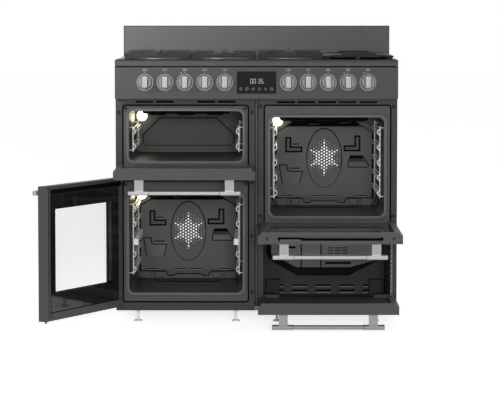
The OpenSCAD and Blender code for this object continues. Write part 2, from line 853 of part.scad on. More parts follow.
// A convection fan: a disc with upright blades and a bored hub
module fan(at) {
    hub_r = 12;
    translate([at.x, fan_y1, at.y]) rotate([90, 0, 0]) difference() {
        union() {
            cylinder(r = blade_r, h = 2);
            cylinder(r = hub_r, h = fan_y1 - fan_y0);
            for (i = [0:blades - 1]) rotate([0, 0, 360 * i / blades]) translate([46, 0, 1])
                rotate([0, 0, 25]) translate([0, -1, 0]) cube([20, 2, fan_y1 - fan_y0 - 4]);
        }
        translate([0, 0, -1]) cylinder(r = shaft_r + fan_fit, h = fan_y1 - fan_y0 + 2);
    }
}

module left_fan() { color("#9b9d9f") fan(left_fan_at); }

module right_fan() { color("#9b9d9f") fan(right_fan_at); }

module fan_motors() {
    y0 = rear_y + recess_d + liner_t;
    motor_r = 32;
    color("#6f6a62") for (at = [left_fan_at, right_fan_at]) {
        rod_y(at.x, at.y, shaft_r, fan_y0 - 3, y0);
        rod_y(at.x, at.y, motor_r, y0, y0 + 46);
        rod_y(at.x, at.y, shaft_r * 2, y0 + 46, y0 + 54);
        for (y = [[fan_y0 - 3, fan_y0 - 0.3], [fan_y1 + 0.3, rear_y + recess_d]])
            rod_y(at.x, at.y, shaft_r + 3, y[0], y[1]);
        for (s = [-1, 1])
            box([at.x + s * 42 - 12, y0, at.y - 6], [at.x + s * 42 + 12, y0 + 3, at.y + 6]);
    }
}

// ---- Hob ----

// Centres of the three pan supports and the width of each, and of the griddle
support_w = 231;
support_x = [-353.5, -116, 120.5];
griddle_x = 363;
griddle_w = 250;
hob_mid_y = -42;
support_d = 440;
// Gas burners: [x, y, radius of the head]
burners = [[support_x[0], -150, 38], [support_x[0], 66, 32], [support_x[1], hob_mid_y, 62],
           [support_x[2], -150, 32], [support_x[2], 66, 38]];
head_h = 13;
cap_h = 7;
bowl_r = 19.5;

// A burner head on the hob's sheet, with its flame ports, its cup below and its spark plug
module burner_body(b) {
    ports = b[2] > 50 ? 36 : 24;
    port_w = 2;
    difference() {
        union() {
            translate([b[0], b[1], hob_z]) rotate_extrude()
                polygon([[0, 0], [b[2] + 6, 0], [b[2] + 4, 3], [b[2], 5], [b[2], head_h], [0, head_h]]);
            rod_z(b[0], b[1], bowl_r, seat_z - 3, hob_z + 1);
        }
        for (i = [0:ports - 1]) translate([b[0], b[1], hob_z + head_h - 4])
            rotate([0, 0, 360 * i / ports]) translate([b[2] - 5, -port_w / 2, 0])
                cube([10, port_w, 5]);
        rod_z(b[0], b[1], 9, seat_z - 4, hob_z + head_h - 5);
    }
    plug = (b[2] + 12) * sin(45);
    translate([b[0] + plug, b[1] + plug, hob_z]) rotate_extrude()
        polygon([[0, 0], [4.5, 0], [4.5, 6], [2, 8], [2, 14], [0, 15]]);
}

griddle_burner_r = 4.5;
griddle_burner_l = 250;

module burner_bodies() {
    z = hob_z + griddle_burner_r + 1;
    color("#8d8f90") {
        for (b = burners) burner_body(b);
        // The long burner below the griddle, on two feet
        difference() {
            union() {
                rod_y(griddle_x, z, griddle_burner_r, hob_mid_y - griddle_burner_l / 2,
                      hob_mid_y + griddle_burner_l / 2);
                for (s = [-1, 1])
                    box([griddle_x - 9, hob_mid_y + s * 90 - 8, hob_z],
                        [griddle_x + 9, hob_mid_y + s * 90 + 8, z]);
            }
            for (i = [-8:8])
                rod_x(hob_mid_y + 14 * i, z + 1, 1, griddle_x - griddle_burner_r - 1,
                      griddle_x + griddle_burner_r + 1);
        }
    }
}

module burner_caps() {
    color("#2b2c2d") for (b = burners)
        translate([b[0], b[1], hob_z + head_h]) rotate_extrude()
            polygon([[0, 0], [b[2] - 2, 0], [b[2] + 1, 2], [b[2] + 1, 4], [b[2] - 2, cap_h],
                     [0, cap_h]]);
}

foot_w = 18;
bar_z = 6;
bar_h = 11;

// A cast bar from [x0, y0] to [x1, y1], with its top chamfered
module cast_bar(a, b, z0, z1) {
    l = norm(b - a);
    ch = 1.5;
    translate([a.x, a.y, 0]) rotate([0, 0, atan2(b.y - a.y, b.x - a.x)])
        along_x(0, l) polygon([[-cast_w / 2, z0], [cast_w / 2, z0], [cast_w / 2, z1 - ch],
                               [cast_w / 2 - ch, z1], [-cast_w / 2 + ch, z1],
                               [-cast_w / 2, z1 - ch]]);
}

// A finger from the frame towards a burner of radius r at c: thin where it passes over the
// cap, from `open` out, then sloping down from the burner's edge to its full depth
module finger(c, r, turn, open, reach) {
    top = hob_z + support_h;
    low = hob_z + bar_z;
    over = hob_z + head_h + cap_h + 1.5;
    edge = r + 9;
    nose = 3;
    translate([c.x, c.y, 0]) rotate([0, 0, turn]) intersection() {
        cast_bar([open, 0], [reach, 0], low, top);
        upright(-cast_w, cast_w)
            polygon([[open, over], [edge, over], [edge + over - low, low], [reach, low],
                     [reach, top], [open + nose, top], [open, top - nose]]);
    }
}

// A cast pan support: a frame on four feet, raised corners and fingers towards its burners,
// each [y, radius]
module pan_support(cx, heads, open) {
    x0 = cx - support_w / 2;
    x1 = cx + support_w / 2;
    y0 = hob_mid_y - support_d / 2;
    y1 = hob_mid_y + support_d / 2;
    z0 = hob_z + bar_z;
    z1 = z0 + bar_h;
    top = hob_z + support_h;
    w = cast_w / 2;
    side = support_w / 2 - w;
    short = 34;
    spread = 62;
    far = 70;
    for (x = [x0 + w, x1 - w]) cast_bar([x, y0], [x, y1], z0, z1);
    for (y = [y0 + w, y1 - w]) cast_bar([x0, y], [x1, y], z0, z1);
    for (x = [x0, x1 - foot_w], y = [y0, y1 - foot_w])
        box([x, y, hob_z], [x + foot_w, y + foot_w, top - 4]);
    for (h = heads) {
        c = [cx, h[0]];
        // The fingers along Y end at the frame, or at the bar between two burners
        ends = len(heads) == 1 ? [h[1] + far, h[1] + far]
            : c.y < hob_mid_y ? [hob_mid_y - c.y, c.y - y0 - w] : [y1 - w - c.y, c.y - hob_mid_y];
        for (turn = [0, 180]) finger(c, h[1], turn, open, side);
        for (i = [0, 1]) finger(c, h[1], i == 0 ? 90 : -90, open, ends[i]);
        for (s = [-1, 1], d = [-1, 1])
            cast_bar([cx + s * side, c.y + d * spread], [cx + s * (side - short), c.y + d * spread],
                     z0, top - 2);
    }
    if (len(heads) > 1) cast_bar([x0, hob_mid_y], [x1, hob_mid_y], z0, z1);
    if (len(heads) == 1) for (s = [-1, 1]) {
        cast_bar([cx, hob_mid_y + s * (support_d / 2 - w)], [cx, hob_mid_y + s * 130], z0, top);
        cast_bar([x0, hob_mid_y + s * 150], [x1, hob_mid_y + s * 150], z0, z1);
    }
}

module left_pan_support() {
    color("#3b3d3f") pan_support(support_x[0], [[-150, 38], [66, 32]], 16);
}

module centre_pan_support() {
    color("#3b3d3f") pan_support(support_x[1], [[hob_mid_y, 62]], 35);
}

module right_pan_support() {
    color("#3b3d3f") pan_support(support_x[2], [[-150, 32], [66, 38]], 16);
}

// A cast griddle: a plate on four feet with a sunken, sloped cooking face and raised ends
module griddle_plate() {
    x0 = griddle_x - griddle_w / 2;
    x1 = griddle_x + griddle_w / 2;
    y0 = hob_mid_y - support_d / 2;
    y1 = hob_mid_y + support_d / 2;
    z0 = hob_z + 11;
    z1 = hob_z + 17;
    tab_h = 23;
    tab_t = 9;
    color("#26282a") {
        difference() {
            upright(y0, y1)
                polygon([[x0, z0 - 4], [x0 + 60, z0], [x1 - 60, z0], [x1, z0 - 4], [x1, z1 - 4],
                         [x1 - 40, z1], [x0 + 40, z1], [x0, z1 - 4]]);
            // The cooking face falls towards the drip end at the back
            along_x(x0 + 16, x1 - 16)
                polygon([[y0 + 24, z1 - 1.5], [y1 - 24, z1 - 3.5], [y1 - 24, z1 + 9],
                         [y0 + 24, z1 + 9]]);
        }
        for (y = [y0, y1 - tab_t]) upright(y, y + tab_t)
            polygon([[x0 + 60, z1 - 2], [x1 - 60, z1 - 2], [x1 - 70, hob_z + tab_h],
                     [x0 + 70, hob_z + tab_h]]);
        for (x = [x0 + 4, x1 - 4 - foot_w], y = [y0 + 4, y1 - 4 - foot_w])
            box([x, y, hob_z], [x + foot_w, y + foot_w, z0 - 1]);
    }
}

// ---- Gas and switches ----

rail_pipe_r = 10;
rail_pipe_y = front_y + 24;
tap_y0 = panel_y + 12;
tap_y1 = rail_pipe_y - rail_pipe_r;
inlet_r = 10.5;

module gas_rail() {
    inlet_out = 28;
    bore = 7;
    color("#b5a26a") difference() {
        union() {
            rod_x(rail_pipe_y, knob_z, rail_pipe_r, -half_w + 30, inlet_x);
            rod_y(inlet_x, knob_z, rail_pipe_r, rail_pipe_y, back_y);
            rod_y(inlet_x, knob_z, inlet_r, back_y - 20, back_y + inlet_out);
        }
        rod_y(inlet_x, knob_z, bore, back_in - 30, back_y + inlet_out + 1);
    }
}

// A tap's body on the gas rail, with the spindle that its knob sits on
module tap(x) {
    body = 13;
    box([x - body, tap_y0, knob_z - body], [x + body, tap_y1, knob_z + body]);
    rod_y(x, knob_z, spindle_r, panel_y - spindle_out, tap_y0);
    rod_z(x, tap_y0 + 16, 5, knob_z + body, knob_z + body + 16);
}

spindle_out = 20;

module gas_taps() {
    color("#a8a9a0") for (i = gas_knob_at) tap(knob_xs[i]);
}

module oven_switches() {
    y0 = panel_y + sheet;
    color("#d8d4c6") for (i = oven_knob_at) {
        rod_y(knob_xs[i], knob_z, 22, y0, y0 + 30);
        rod_y(knob_xs[i], knob_z, spindle_r, panel_y - spindle_out, y0);
        for (s = [-1, 1])
            box([knob_xs[i] + s * 12 - 3, y0 + 30, knob_z - 4],
                [knob_xs[i] + s * 12 + 3, y0 + 38, knob_z + 4]);
    }
}

bezel_r = 30;
bezel_t = 2;
pilot_at = [2, 8, 9];

// Bezel rings round the knobs, with the pilot lights of the oven knobs above them
module knob_bezels() {
    color("#d5d6d7") {
        for (x = knob_xs)
            translate([x, panel_y, knob_z]) rotate([90, 0, 0]) rotate_extrude()
                polygon([[spindle_hole_r, 0], [bezel_r, 0], [bezel_r - 1, bezel_t],
                         [spindle_hole_r, bezel_t]]);
        for (i = pilot_at)
            rod_y(knob_xs[i] - 13, knob_z + 33.5, 2.5, panel_y - 1, panel_y);
    }
}

knob_gap = 0.4;
knob_fit = 0.05;
disc_t = 9;
grip_w = 18;
grip_l = 41;
grip_out = 22;

// A knob: a disc with a raised bar across it, bored for the spindle from behind
module knob(i) {
    color("#d9dadb") translate([knob_xs[i], panel_y - bezel_t - knob_gap, knob_z])
        rotate([90, 0, 0]) difference() {
            union() {
                rotate_extrude() polygon([[0, 0], [knob_r, 0], [knob_r, disc_t - 2],
                                          [knob_r - 2, disc_t], [0, disc_t]]);
                intersection() {
                    translate([-grip_w / 2, -grip_l / 2 + 3, 1]) cube([grip_w, grip_l, disc_t + grip_out]);
                    translate([0, 3, 0]) cylinder(r1 = grip_l / 2 + 3, r2 = grip_l / 2 - 1,
                                                  h = disc_t + grip_out);
                }
            }
            translate([0, 0, -1]) cylinder(r = spindle_r + knob_fit,
                                           h = spindle_out - bezel_t - knob_gap + 1.5);
        }
}

module gas_knob_1() { knob(0); }

module gas_knob_2() { knob(1); }

module gas_knob_3() { knob(3); }

module gas_knob_4() { knob(4); }

module gas_knob_5() { knob(5); }

module gas_knob_6() { knob(6); }

module oven_knob_1() { knob(2); }

module oven_knob_2() { knob(7); }

module oven_knob_3() { knob(8); }

module oven_knob_4() { knob(9); }

// ---- Doors ----

hinge_in = 20;
hinge_side = 3;
axis_y = panel_y + hinge_in;
door_w = half_w - 2 * door_side;
door_x = half_w / 2;
glass_in = door_t - hinge_in;
rim_in = glass_in + rim_h;
pane_t = 5;
pane_fit = 0.3;
pocket_z = 12;
wall_t = 3;
ledge_w = 10;
hinge_block = 42;
edge_r = 6;
step = 10;
notch_w = 16;
notch = 9;
pin_r = 4;
pin_fit = 0.05;
pin_l = 18;
lower_top = upper_split - door_split;
flap_top = right_split - door_split;
vent_slot = [358, 18];
vent_d = 14;

// A drop-down door stands closed with its hinge on the X axis, then lies open
module drop(cx, z) {
    translate([cx, axis_y, z + hinge_in]) rotate([90, 0, 0]) children();
}

// The hollow body of a drop-down door of height h, with its rim, notches and bores
module drop_body(h) {
    x = door_w / 2;
    top = h - hinge_in;
    difference() {
        union() {
            along_x(-x, x)
                polygon(concat([[glass_in, top], [-hinge_in, top]],
                               arc([edge_r - hinge_in, edge_r - hinge_in], edge_r, 180, 270),
                               [[glass_in, -hinge_in]]));
            // The rim: two sides and the free edge, stepped in at the corners
            for (s = [-1, 1])
                along_x(s > 0 ? x - step - rim_w : step - x, s > 0 ? x - step : step + rim_w - x)
                    polygon([[glass_in - 1, notch], [glass_in, notch], [rim_in, notch + rim_h],
                             [rim_in, top], [glass_in - 1, top]]);
            box([step - x, glass_in - 1, top - rim_w], [x - step, rim_in, top]);
        }
        // The hollow, which leaves a ledge for the pane and blocks at the hinges
        box([wall_t - x, skin_t - hinge_in, notch + wall_t],
            [x - wall_t, glass_in - pane_t - wall_t, top - wall_t]);
        box([hinge_block - x, skin_t - hinge_in, skin_t - hinge_in + 2],
            [x - hinge_block, glass_in - pane_t - wall_t, notch + wall_t + 1]);
        box([step + rim_w + ledge_w - x, 0, pocket_z + ledge_w],
            [x - step - rim_w - ledge_w, glass_in, top - rim_w - ledge_w]);
        box([step + rim_w - x, glass_in - pane_t, pocket_z],
            [x - step - rim_w, glass_in + 1, top - rim_w]);
        for (s = [-1, 1]) {
            box([s > 0 ? x - notch_w : -x - 1, -notch, -hinge_in - 1],
                [s > 0 ? x + 1 : notch_w - x, rim_in + 1, notch]);
            rod_x(0, 0, pin_r + pin_fit, s > 0 ? x - notch_w - pin_l - 2 : notch_w - x - 1,
                  s > 0 ? x - notch_w + 1 : notch_w - x + pin_l + 2);
        }
    }
}

// A pane of a drop-down door, in its pocket between the rims
module drop_pane(h) {
    x = door_w / 2 - step - rim_w - pane_fit;
    box([-x, glass_in - pane_t, pocket_z + pane_fit],
        [x, glass_in, h - hinge_in - rim_w - pane_fit]);
}

sleeve_d = 18;
sleeve_l = 73;
bracket_w = 31;
bracket_t = 15;

// A bar handle centred on x, at height z, on the outer face
module handle(x, z) {
    y = -hinge_in - bar_out;
    rod_x(y, z, bar_d / 2, x - bar_l / 2, x + bar_l / 2);
    for (s = [-1, 1]) {
        end = x + s * bar_l / 2;
        rod_x(y, z, sleeve_d / 2, min(end, end - s * sleeve_l), max(end, end - s * sleeve_l));
        box([x + s * bracket_pitch / 2 - bracket_w / 2, y, z - bracket_t / 2],
            [x + s * bracket_pitch / 2 + bracket_w / 2, -hinge_in, z + bracket_t / 2]);
    }
}

upper_door_h = door_top - upper_split;
right_door_h = door_top - right_split;
flap_h = flap_top - door_foot;

module upper_left_door() {
    color("#777a7c") drop(-door_x, upper_split) drop_body(upper_door_h);
}

module upper_left_glass() {
    color("#1c1e1f") drop(-door_x, upper_split) drop_pane(upper_door_h);
}

module upper_left_handle() {
    color("#d6d7d8") drop(-door_x, upper_split) handle(0, upper_door_h - hinge_in - bar_drop);
}

module right_door() {
    top = right_door_h - hinge_in;
    color("#777a7c") drop(door_x, right_split) {
        difference() {
            drop_body(right_door_h);
            // The air outlet in the free edge
            translate([0, 0, top - vent_d]) linear_extrude(vent_d + 1)
                slot(0, -1, vent_slot.x, vent_slot.y);
        }
        for (s = [-1, 1]) rod_z(s * 212, 1, 3.5, top, top + 1);
    }
}

module right_glass() {
    color("#1c1e1f") drop(door_x, right_split) drop_pane(right_door_h);
}

module right_handle() {
    color("#d6d7d8") drop(door_x, right_split) handle(0, right_door_h - hinge_in - bar_drop);
}

module storage_flap() {
    color("#777a7c") drop(door_x, door_foot) {
        drop_body(flap_h);
        drop_pane(flap_h);
    }
}

module storage_handle() {
    color("#d6d7d8") drop(door_x, door_foot) handle(0, flap_h - hinge_in - bar_drop);
}

// The lower-left door: its hinge axis is upright, near its left edge
axis_x = door_side + hinge_side - half_w;
swing_x0 = -hinge_side;
swing_x1 = door_w - hinge_side;
window_in = [58, 93, 80];

module swung() {
    translate([axis_x, axis_y, 0]) rotate([0, 0, -swing]) children();
}

module lower_left_door() {
    z0 = door_foot;
    z1 = lower_top;
    color("#777a7c") swung() {
        difference() {
            union() {
                rise(z0, z1)
                    polygon(concat([[swing_x1, glass_in], [swing_x0, glass_in],
                                    [swing_x0, -hinge_in], [swing_x1, -hinge_in]]));
                box([swing_x1 - rim_w, glass_in - 1, z0 + step],
                    [swing_x1, rim_in, z1 - step]);
                for (z = [z0 + step, z1 - step - rim_w])
                    box([notch + 2, glass_in - 1, z], [swing_x1 - 1, rim_in, z + rim_w]);
            }
            // The hollow between the panes, the window in the outer panel and the pane's pocket
            box([notch + wall_t, skin_t - hinge_in, z0 + wall_t],
                [swing_x1 - wall_t, glass_in - pane_t - wall_t, z1 - wall_t]);
            box([pocket_z + ledge_w, 0, z0 + step + rim_w + ledge_w],
                [swing_x1 - rim_w - ledge_w, glass_in, z1 - step - rim_w - ledge_w]);
            box([swing_x0 + window_in.x, -hinge_in - 1, z0 + window_in.y],
                [swing_x1 - window_in.x, 0, z1 - window_in.z]);
            box([pocket_z, glass_in - pane_t, z0 + step + rim_w],
                [swing_x1 - rim_w, glass_in + 1, z1 - step - rim_w]);
            for (z = [[z0 - 1, z0 + notch_w], [z1 - notch_w, z1 + 1]])
                box([swing_x0 - 1, -notch, z[0]], [notch, rim_in + 1, z[1]]);
            for (z = [[z0 + notch_w - 1, z0 + notch_w + pin_l + 2],
                      [z1 - notch_w - pin_l - 2, z1 - notch_w + 1]])
                rod_z(0, 0, pin_r + pin_fit, z[0], z[1]);
        }
        // The stud under the free edge
        rod_z(swing_x1 - 14, 0, 4, z0 - 7, z0);
    }
}

module lower_left_glass() {
    back = 20;
    color("#1c1e1f") swung() {
        box([pocket_z + pane_fit, glass_in - pane_t, door_foot + step + rim_w + pane_fit],
            [swing_x1 - rim_w - pane_fit, glass_in, lower_top - step - rim_w - pane_fit]);
        // The outer pane lies against the back of the outer panel
        box([swing_x0 + window_in.x - back, skin_t - hinge_in, door_foot + window_in.y - back],
            [swing_x1 - window_in.x + back, skin_t - hinge_in + 4, lower_top - window_in.z + back]);
    }
}

module lower_left_handle() {
    color("#d6d7d8") swung() handle((swing_x0 + swing_x1) / 2, lower_top - bar_drop);
}

arm_r = 8;
arm_t = 8;
arm_in = 4;
foot_plate = 2;

// The two fixed arms of a drop-down door, with their feet on the front frame and their pins
module drop_hinges(cx, z) {
    for (s = [-1, 1]) translate([cx, 0, z + hinge_in]) mirror([s > 0 ? 1 : 0, 0, 0]) {
        edge = -door_w / 2;
        along_x(edge + arm_in, edge + arm_in + arm_t) {
            translate([axis_y, 0]) circle(r = arm_r);
            rect([axis_y, -arm_r], [front_y, arm_r]);
        }
        rod_x(axis_y, 0, pin_r, edge + arm_in, edge + notch_w + pin_l);
        box([edge + 2, front_y - foot_plate, -hinge_in], [edge + notch_w - 1, front_y, hinge_in]);
    }
}

// An arm of the lower-left door, between two heights, and its pin up or down into the door
module swing_hinge(z0, z1, pin0, pin1) {
    rise(z0, z1) {
        translate([axis_x, axis_y]) circle(r = arm_r);
        rect([axis_x - arm_r / 2, axis_y], [axis_x + arm_r, front_y]);
    }
    rod_z(axis_x, axis_y, pin_r, pin0, pin1);
    rise(z0 - 3, z1 + 3) rect([-half_w, front_y - foot_plate], [axis_x + 14, front_y]);
}

module hinge_brackets() {
    color("#b6b8b9") {
        drop_hinges(-door_x, upper_split);
        drop_hinges(door_x, right_split);
        drop_hinges(door_x, door_foot);
        low = door_foot + arm_in;
        high = lower_top - arm_in;
        swing_hinge(low, low + arm_t, low, door_foot + notch_w + pin_l);
        swing_hinge(high - arm_t, high, lower_top - notch_w - pin_l, high);
    }
}

base_frame();
levelling_feet();
side_panels();
back_panel();
left_front_frame();
right_front_frame();
centre_divider();
control_panel();
display_unit();
hob_top();
splashback();
upper_left_oven();
lower_left_oven();
right_oven();
storage_liner();
door_seals();
side_racks();
fan_covers();
grill_elements();
ring_elements();
oven_lamps();
fan_motors();
burner_bodies();
burner_caps();
left_pan_support();
centre_pan_support();
right_pan_support();
griddle_plate();
gas_rail();
gas_taps();
oven_switches();
knob_bezels();
hinge_brackets();
frame_screws();
terminal_box();
left_fan();
right_fan();
left_rail();
right_rail();
gas_knob_1();
gas_knob_2();
gas_knob_3();
gas_knob_4();
gas_knob_5();
gas_knob_6();
oven_knob_1();
oven_knob_2();
oven_knob_3();
oven_knob_4();
upper_left_door();
upper_left_glass();
upper_left_handle();
lower_left_door();
lower_left_glass();
lower_left_handle();
right_door();
right_glass();
right_handle();
storage_flap();
storage_handle();
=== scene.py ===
"""The looks of a range cooker with a double oven, built round its fixed frame.

The sizes of the cooker's own details are in millimetres, and those of the studio in metres unless
a name ends in _mm. +X is to the right seen from the front, +Y to the back and +Z up, with the
origin on the floor under the middle of the cabinet.
"""

from __future__ import annotations

import logging
import math
from collections.abc import Iterable, Sequence
from dataclasses import dataclass, field, replace
from enum import Enum

import bmesh
import bpy
from mathutils import Matrix, Vector

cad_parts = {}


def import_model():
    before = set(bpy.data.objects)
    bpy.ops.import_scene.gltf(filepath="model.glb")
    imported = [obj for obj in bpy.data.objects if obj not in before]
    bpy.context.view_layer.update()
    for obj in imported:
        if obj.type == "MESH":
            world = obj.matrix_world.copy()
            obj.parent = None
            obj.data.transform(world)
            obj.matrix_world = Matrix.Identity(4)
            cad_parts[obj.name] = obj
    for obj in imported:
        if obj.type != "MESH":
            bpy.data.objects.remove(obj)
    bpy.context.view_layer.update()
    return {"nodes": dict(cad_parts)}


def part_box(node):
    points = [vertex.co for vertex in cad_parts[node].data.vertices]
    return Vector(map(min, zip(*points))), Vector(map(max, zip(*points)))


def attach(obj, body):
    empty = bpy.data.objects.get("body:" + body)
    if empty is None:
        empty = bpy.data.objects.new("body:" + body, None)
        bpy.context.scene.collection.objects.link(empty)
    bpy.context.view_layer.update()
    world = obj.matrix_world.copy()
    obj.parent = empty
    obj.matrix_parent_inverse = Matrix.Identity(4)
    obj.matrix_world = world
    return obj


LOG = logging.getLogger("range_cooker")
MM = 0.001


# ---- Small helpers ----


def linear(hex_colour: str) -> tuple[float, float, float, float]:
    """Turns an sRGB hex value into a linear colour.

    Args:
        hex_colour: Six hex digits, such as "5a5b5c".

    Returns:
        Linear red, green and blue with an alpha of 1.
    """
    parts = [int(hex_colour[i : i + 2], 16) / 255 for i in (0, 2, 4)]
    red, green, blue = (
        part / 12.92 if part <= 0.04045 else ((part + 0.055) / 1.055) ** 2.4 for part in parts
    )
    return red, green, blue, 1.0


def add_node(
    tree: bpy.types.NodeTree,
    kind: str,
    settings: dict[str, object] | None = None,
    links: dict[str | int, bpy.types.NodeSocket] | None = None,
) -> bpy.types.Node:
    """Adds a node with its settings and links.

    Args:
        tree: The node tree that gets the node.
        kind: The node's Blender type.
        settings: Values by name: an input socket's default, or else the node's own property.
        links: The output socket that feeds each input, given by its name or its place.

    Returns:
        The new node.
    """
    node = tree.nodes.new(kind)
    for name, value in (settings or {}).items():
        if name in node.inputs:
            node.inputs[name].default_value = value
        else:
            setattr(node, name, value)
    for name, source in (links or {}).items():
        tree.links.new(source, node.inputs[name])
    return node


def grains_per_metre(size_mm: float) -> float:
    """A noise texture's scale for grains of a real size in millimetres."""
    return 1.0 / (size_mm * MM)


def add_object(name: str, data: bpy.types.ID) -> bpy.types.Object:
    """Puts a new object into the scene.

    Args:
        name: The object's name.
        data: Its mesh, light or camera.

    Returns:
        The object.
    """
    made = bpy.data.objects.new(name, data)
    bpy.context.scene.collection.objects.link(made)
    return made


# ---- Finishes ----


@dataclass(frozen=True)
class Finish:
    """A surface finish: one shader with a fine grain in its roughness and its relief.

    Attributes:
        name: The finish's name.
        colour: Its sRGB colour.
        roughness: Its mean roughness.
        metallic: 1 for bare metal, 0 for enamel, paint, glass and plastic.
        spread: How far the roughness strays from its mean.
        grain_mm: The size of the grain.
        stretch: How much finer the grain is along X, Y and Z.
        relief_mm: The height of the grain.
        tint: How far the grain darkens the colour.
        ior: Its index of refraction; a metal keeps the default.
        wear: How much paler the colour is where the edges are rubbed.
        rubbed: The sRGB colour of a rubbed edge.
        rubbed_mm: How far the rubbing reaches in from an edge.
    """

    name: str
    colour: str
    roughness: float
    metallic: float = 0.0
    spread: float = 0.05
    grain_mm: float = 3.0
    stretch: tuple[float, float, float] = (1.0, 1.0, 1.0)
    relief_mm: float = 0.02
    tint: float = 0.08
    ior: float = 1.5
    wear: float = 0.0
    rubbed: str = "8a8a8a"
    rubbed_mm: float = 1.2

    def material(self) -> bpy.types.Material:
        """Builds the material, once for each finish.

        Returns:
            The material.
        """
        found = bpy.data.materials.get(self.name)
        if found is not None and found.get("finish") == self.name:
            return found
        made = bpy.data.materials.new(self.name)
        made["finish"] = self.name
        made.use_nodes = True
        tree = made.node_tree
        shader = tree.nodes["Principled BSDF"]
        shader.inputs["Metallic"].default_value = self.metallic
        shader.inputs["IOR"].default_value = self.ior
        place = add_node(tree, "ShaderNodeTexCoord")
        grid = add_node(
            tree, "ShaderNodeMapping", {"Scale": self.stretch}, {"Vector": place.outputs["Object"]}
        )
        noise = add_node(
            tree,
            "ShaderNodeTexNoise",
            {"Scale": grains_per_metre(self.grain_mm), "Detail": 4.0, "Roughness": 0.6},
            {"Vector": grid.outputs["Vector"]},
        )
        grain = noise.outputs["Fac"]
        smoothest = max(0.02, self.roughness - self.spread)
        roughest = min(1.0, self.roughness + self.spread)
        rough = add_node(
            tree, "ShaderNodeMapRange", {"To Min": smoothest, "To Max": roughest}, {"Value": grain}
        )
        tree.links.new(rough.outputs["Result"], shader.inputs["Roughness"])
        base = linear(self.colour)
        ramp = add_node(tree, "ShaderNodeValToRGB", {}, {"Fac": grain})
        stops = ((0.3, 1 - self.tint), (0.7, 1 + self.tint))
        for element, (position, share) in zip(ramp.color_ramp.elements, stops):
            element.position = position
            element.color = (*(min(1.0, channel * share) for channel in base[:3]), 1.0)
        tree.links.new(self.tone(tree, ramp.outputs["Color"]), shader.inputs["Base Color"])
        bump = add_node(
            tree,
            "ShaderNodeBump",
            {"Strength": 1.0, "Distance": self.relief_mm * MM},
            {"Height": grain},
        )
        tree.links.new(bump.outputs["Normal"], shader.inputs["Normal"])
        self.finish_off(tree, shader)
        return made

    def tone(
        self, tree: bpy.types.NodeTree, colour: bpy.types.NodeSocket
    ) -> bpy.types.NodeSocket:
        """Pales the colour along rubbed edges, found as the places that a rounding would turn.

        Args:
            tree: The node tree of the material.
            colour: The grain's colour.

        Returns:
            The socket with the colour for the shader.
        """
        if self.wear == 0.0:
            return colour
        face = add_node(tree, "ShaderNodeNewGeometry")
        soft = add_node(
            tree, "ShaderNodeBevel", {"samples": 4, "Radius": self.rubbed_mm * MM}
        )
        same = add_node(
            tree, "ShaderNodeVectorMath", {"operation": "DOT_PRODUCT"},
            {0: soft.outputs["Normal"], 1: face.outputs["Normal"]},
        )
        edge = add_node(
            tree, "ShaderNodeMapRange",
            {"From Min": 0.98, "From Max": 0.8, "To Min": 0.0, "To Max": self.wear},
            {"Value": same.outputs["Value"]},
        )
        # The colour inputs and the colour output of a Mix node come after those of its other kinds
        factor, first, second, result = 0, 6, 7, 2
        mix = add_node(
            tree, "ShaderNodeMix", {"data_type": "RGBA"},
            {factor: edge.outputs["Result"], first: colour},
        )
        mix.inputs[second].default_value = linear(self.rubbed)
        return mix.outputs[result]

    def finish_off(self, tree: bpy.types.NodeTree, shader: bpy.types.Node) -> None:
        """Adds what one finish has and the others lack. A plain finish adds nothing."""


@dataclass(frozen=True)
class Glow(Finish):
    """A finish that gives off light of its own: lamp glass and lit digits, and a painted glow on
    parts that are no lamps.

    Attributes:
        light: The light's sRGB colour.
        strength: The strength of the light.
    """

    light: str = "ffffff"
    strength: float = 1.0

    def finish_off(self, tree: bpy.types.NodeTree, shader: bpy.types.Node) -> None:
        """Lights the shader."""
        shader.inputs["Emission Color"].default_value = linear(self.light)
        shader.inputs["Emission Strength"].default_value = self.strength


@dataclass(frozen=True)
class ClearGlass(Finish):
    """Clear float glass."""

    def finish_off(self, tree: bpy.types.NodeTree, shader: bpy.types.Node) -> None:
        """Lets light through."""
        shader.inputs["Transmission Weight"].default_value = 1.0


# Stainless sheet with a graphite tint, brushed across: soft, slightly streaked reflections, paler
# where its folds are rubbed. The brush lines are drawn ten times as coarse as they are, to show.
GRAPHITE_STEEL = Finish(
    "graphite_steel", "363636", 0.42, ior=1.38, grain_mm=1.2, stretch=(0.02, 1, 1),
    relief_mm=0.004, tint=0.05, wear=0.35,
)
# The same sheet round the oven mouths, folded, a little darker and duller
GRAPHITE_FRAME = replace(GRAPHITE_STEEL, name="graphite_frame", colour="2d2d2d", roughness=0.5)
# The same sheet on the doors, a little paler
GRAPHITE_DOOR = replace(GRAPHITE_STEEL, name="graphite_door", colour="3e3e3e", roughness=0.46)
# The same sheet on the tall panel behind the hob, painted paler as a stand-in for the light it
# catches
GRAPHITE_SPLASH = replace(GRAPHITE_STEEL, name="graphite_splash", colour="3d3d3d")
# Pressed stainless of the hob, brushed across and glossier
HOB_STEEL = Finish(
    "hob_steel", "2e2e2e", 0.3, ior=1.45, grain_mm=1.0, stretch=(0.02, 1, 1),
    relief_mm=0.004, tint=0.06, wear=0.35,
)
# Vitreous enamel fired on steel: dark, half glossy, with faint specks
OVEN_ENAMEL = Finish(
    "oven_enamel", "3b3b3b", 0.4, grain_mm=1.6, relief_mm=0.01, tint=0.12, ior=1.36
)
# The same enamel on the flat fan covers, fired smoother, and painted paler as a stand-in for the
# light on them
COVER_ENAMEL = Finish(
    "cover_enamel", "414141", 0.32, grain_mm=1.6, relief_mm=0.008, tint=0.1, ior=1.38
)
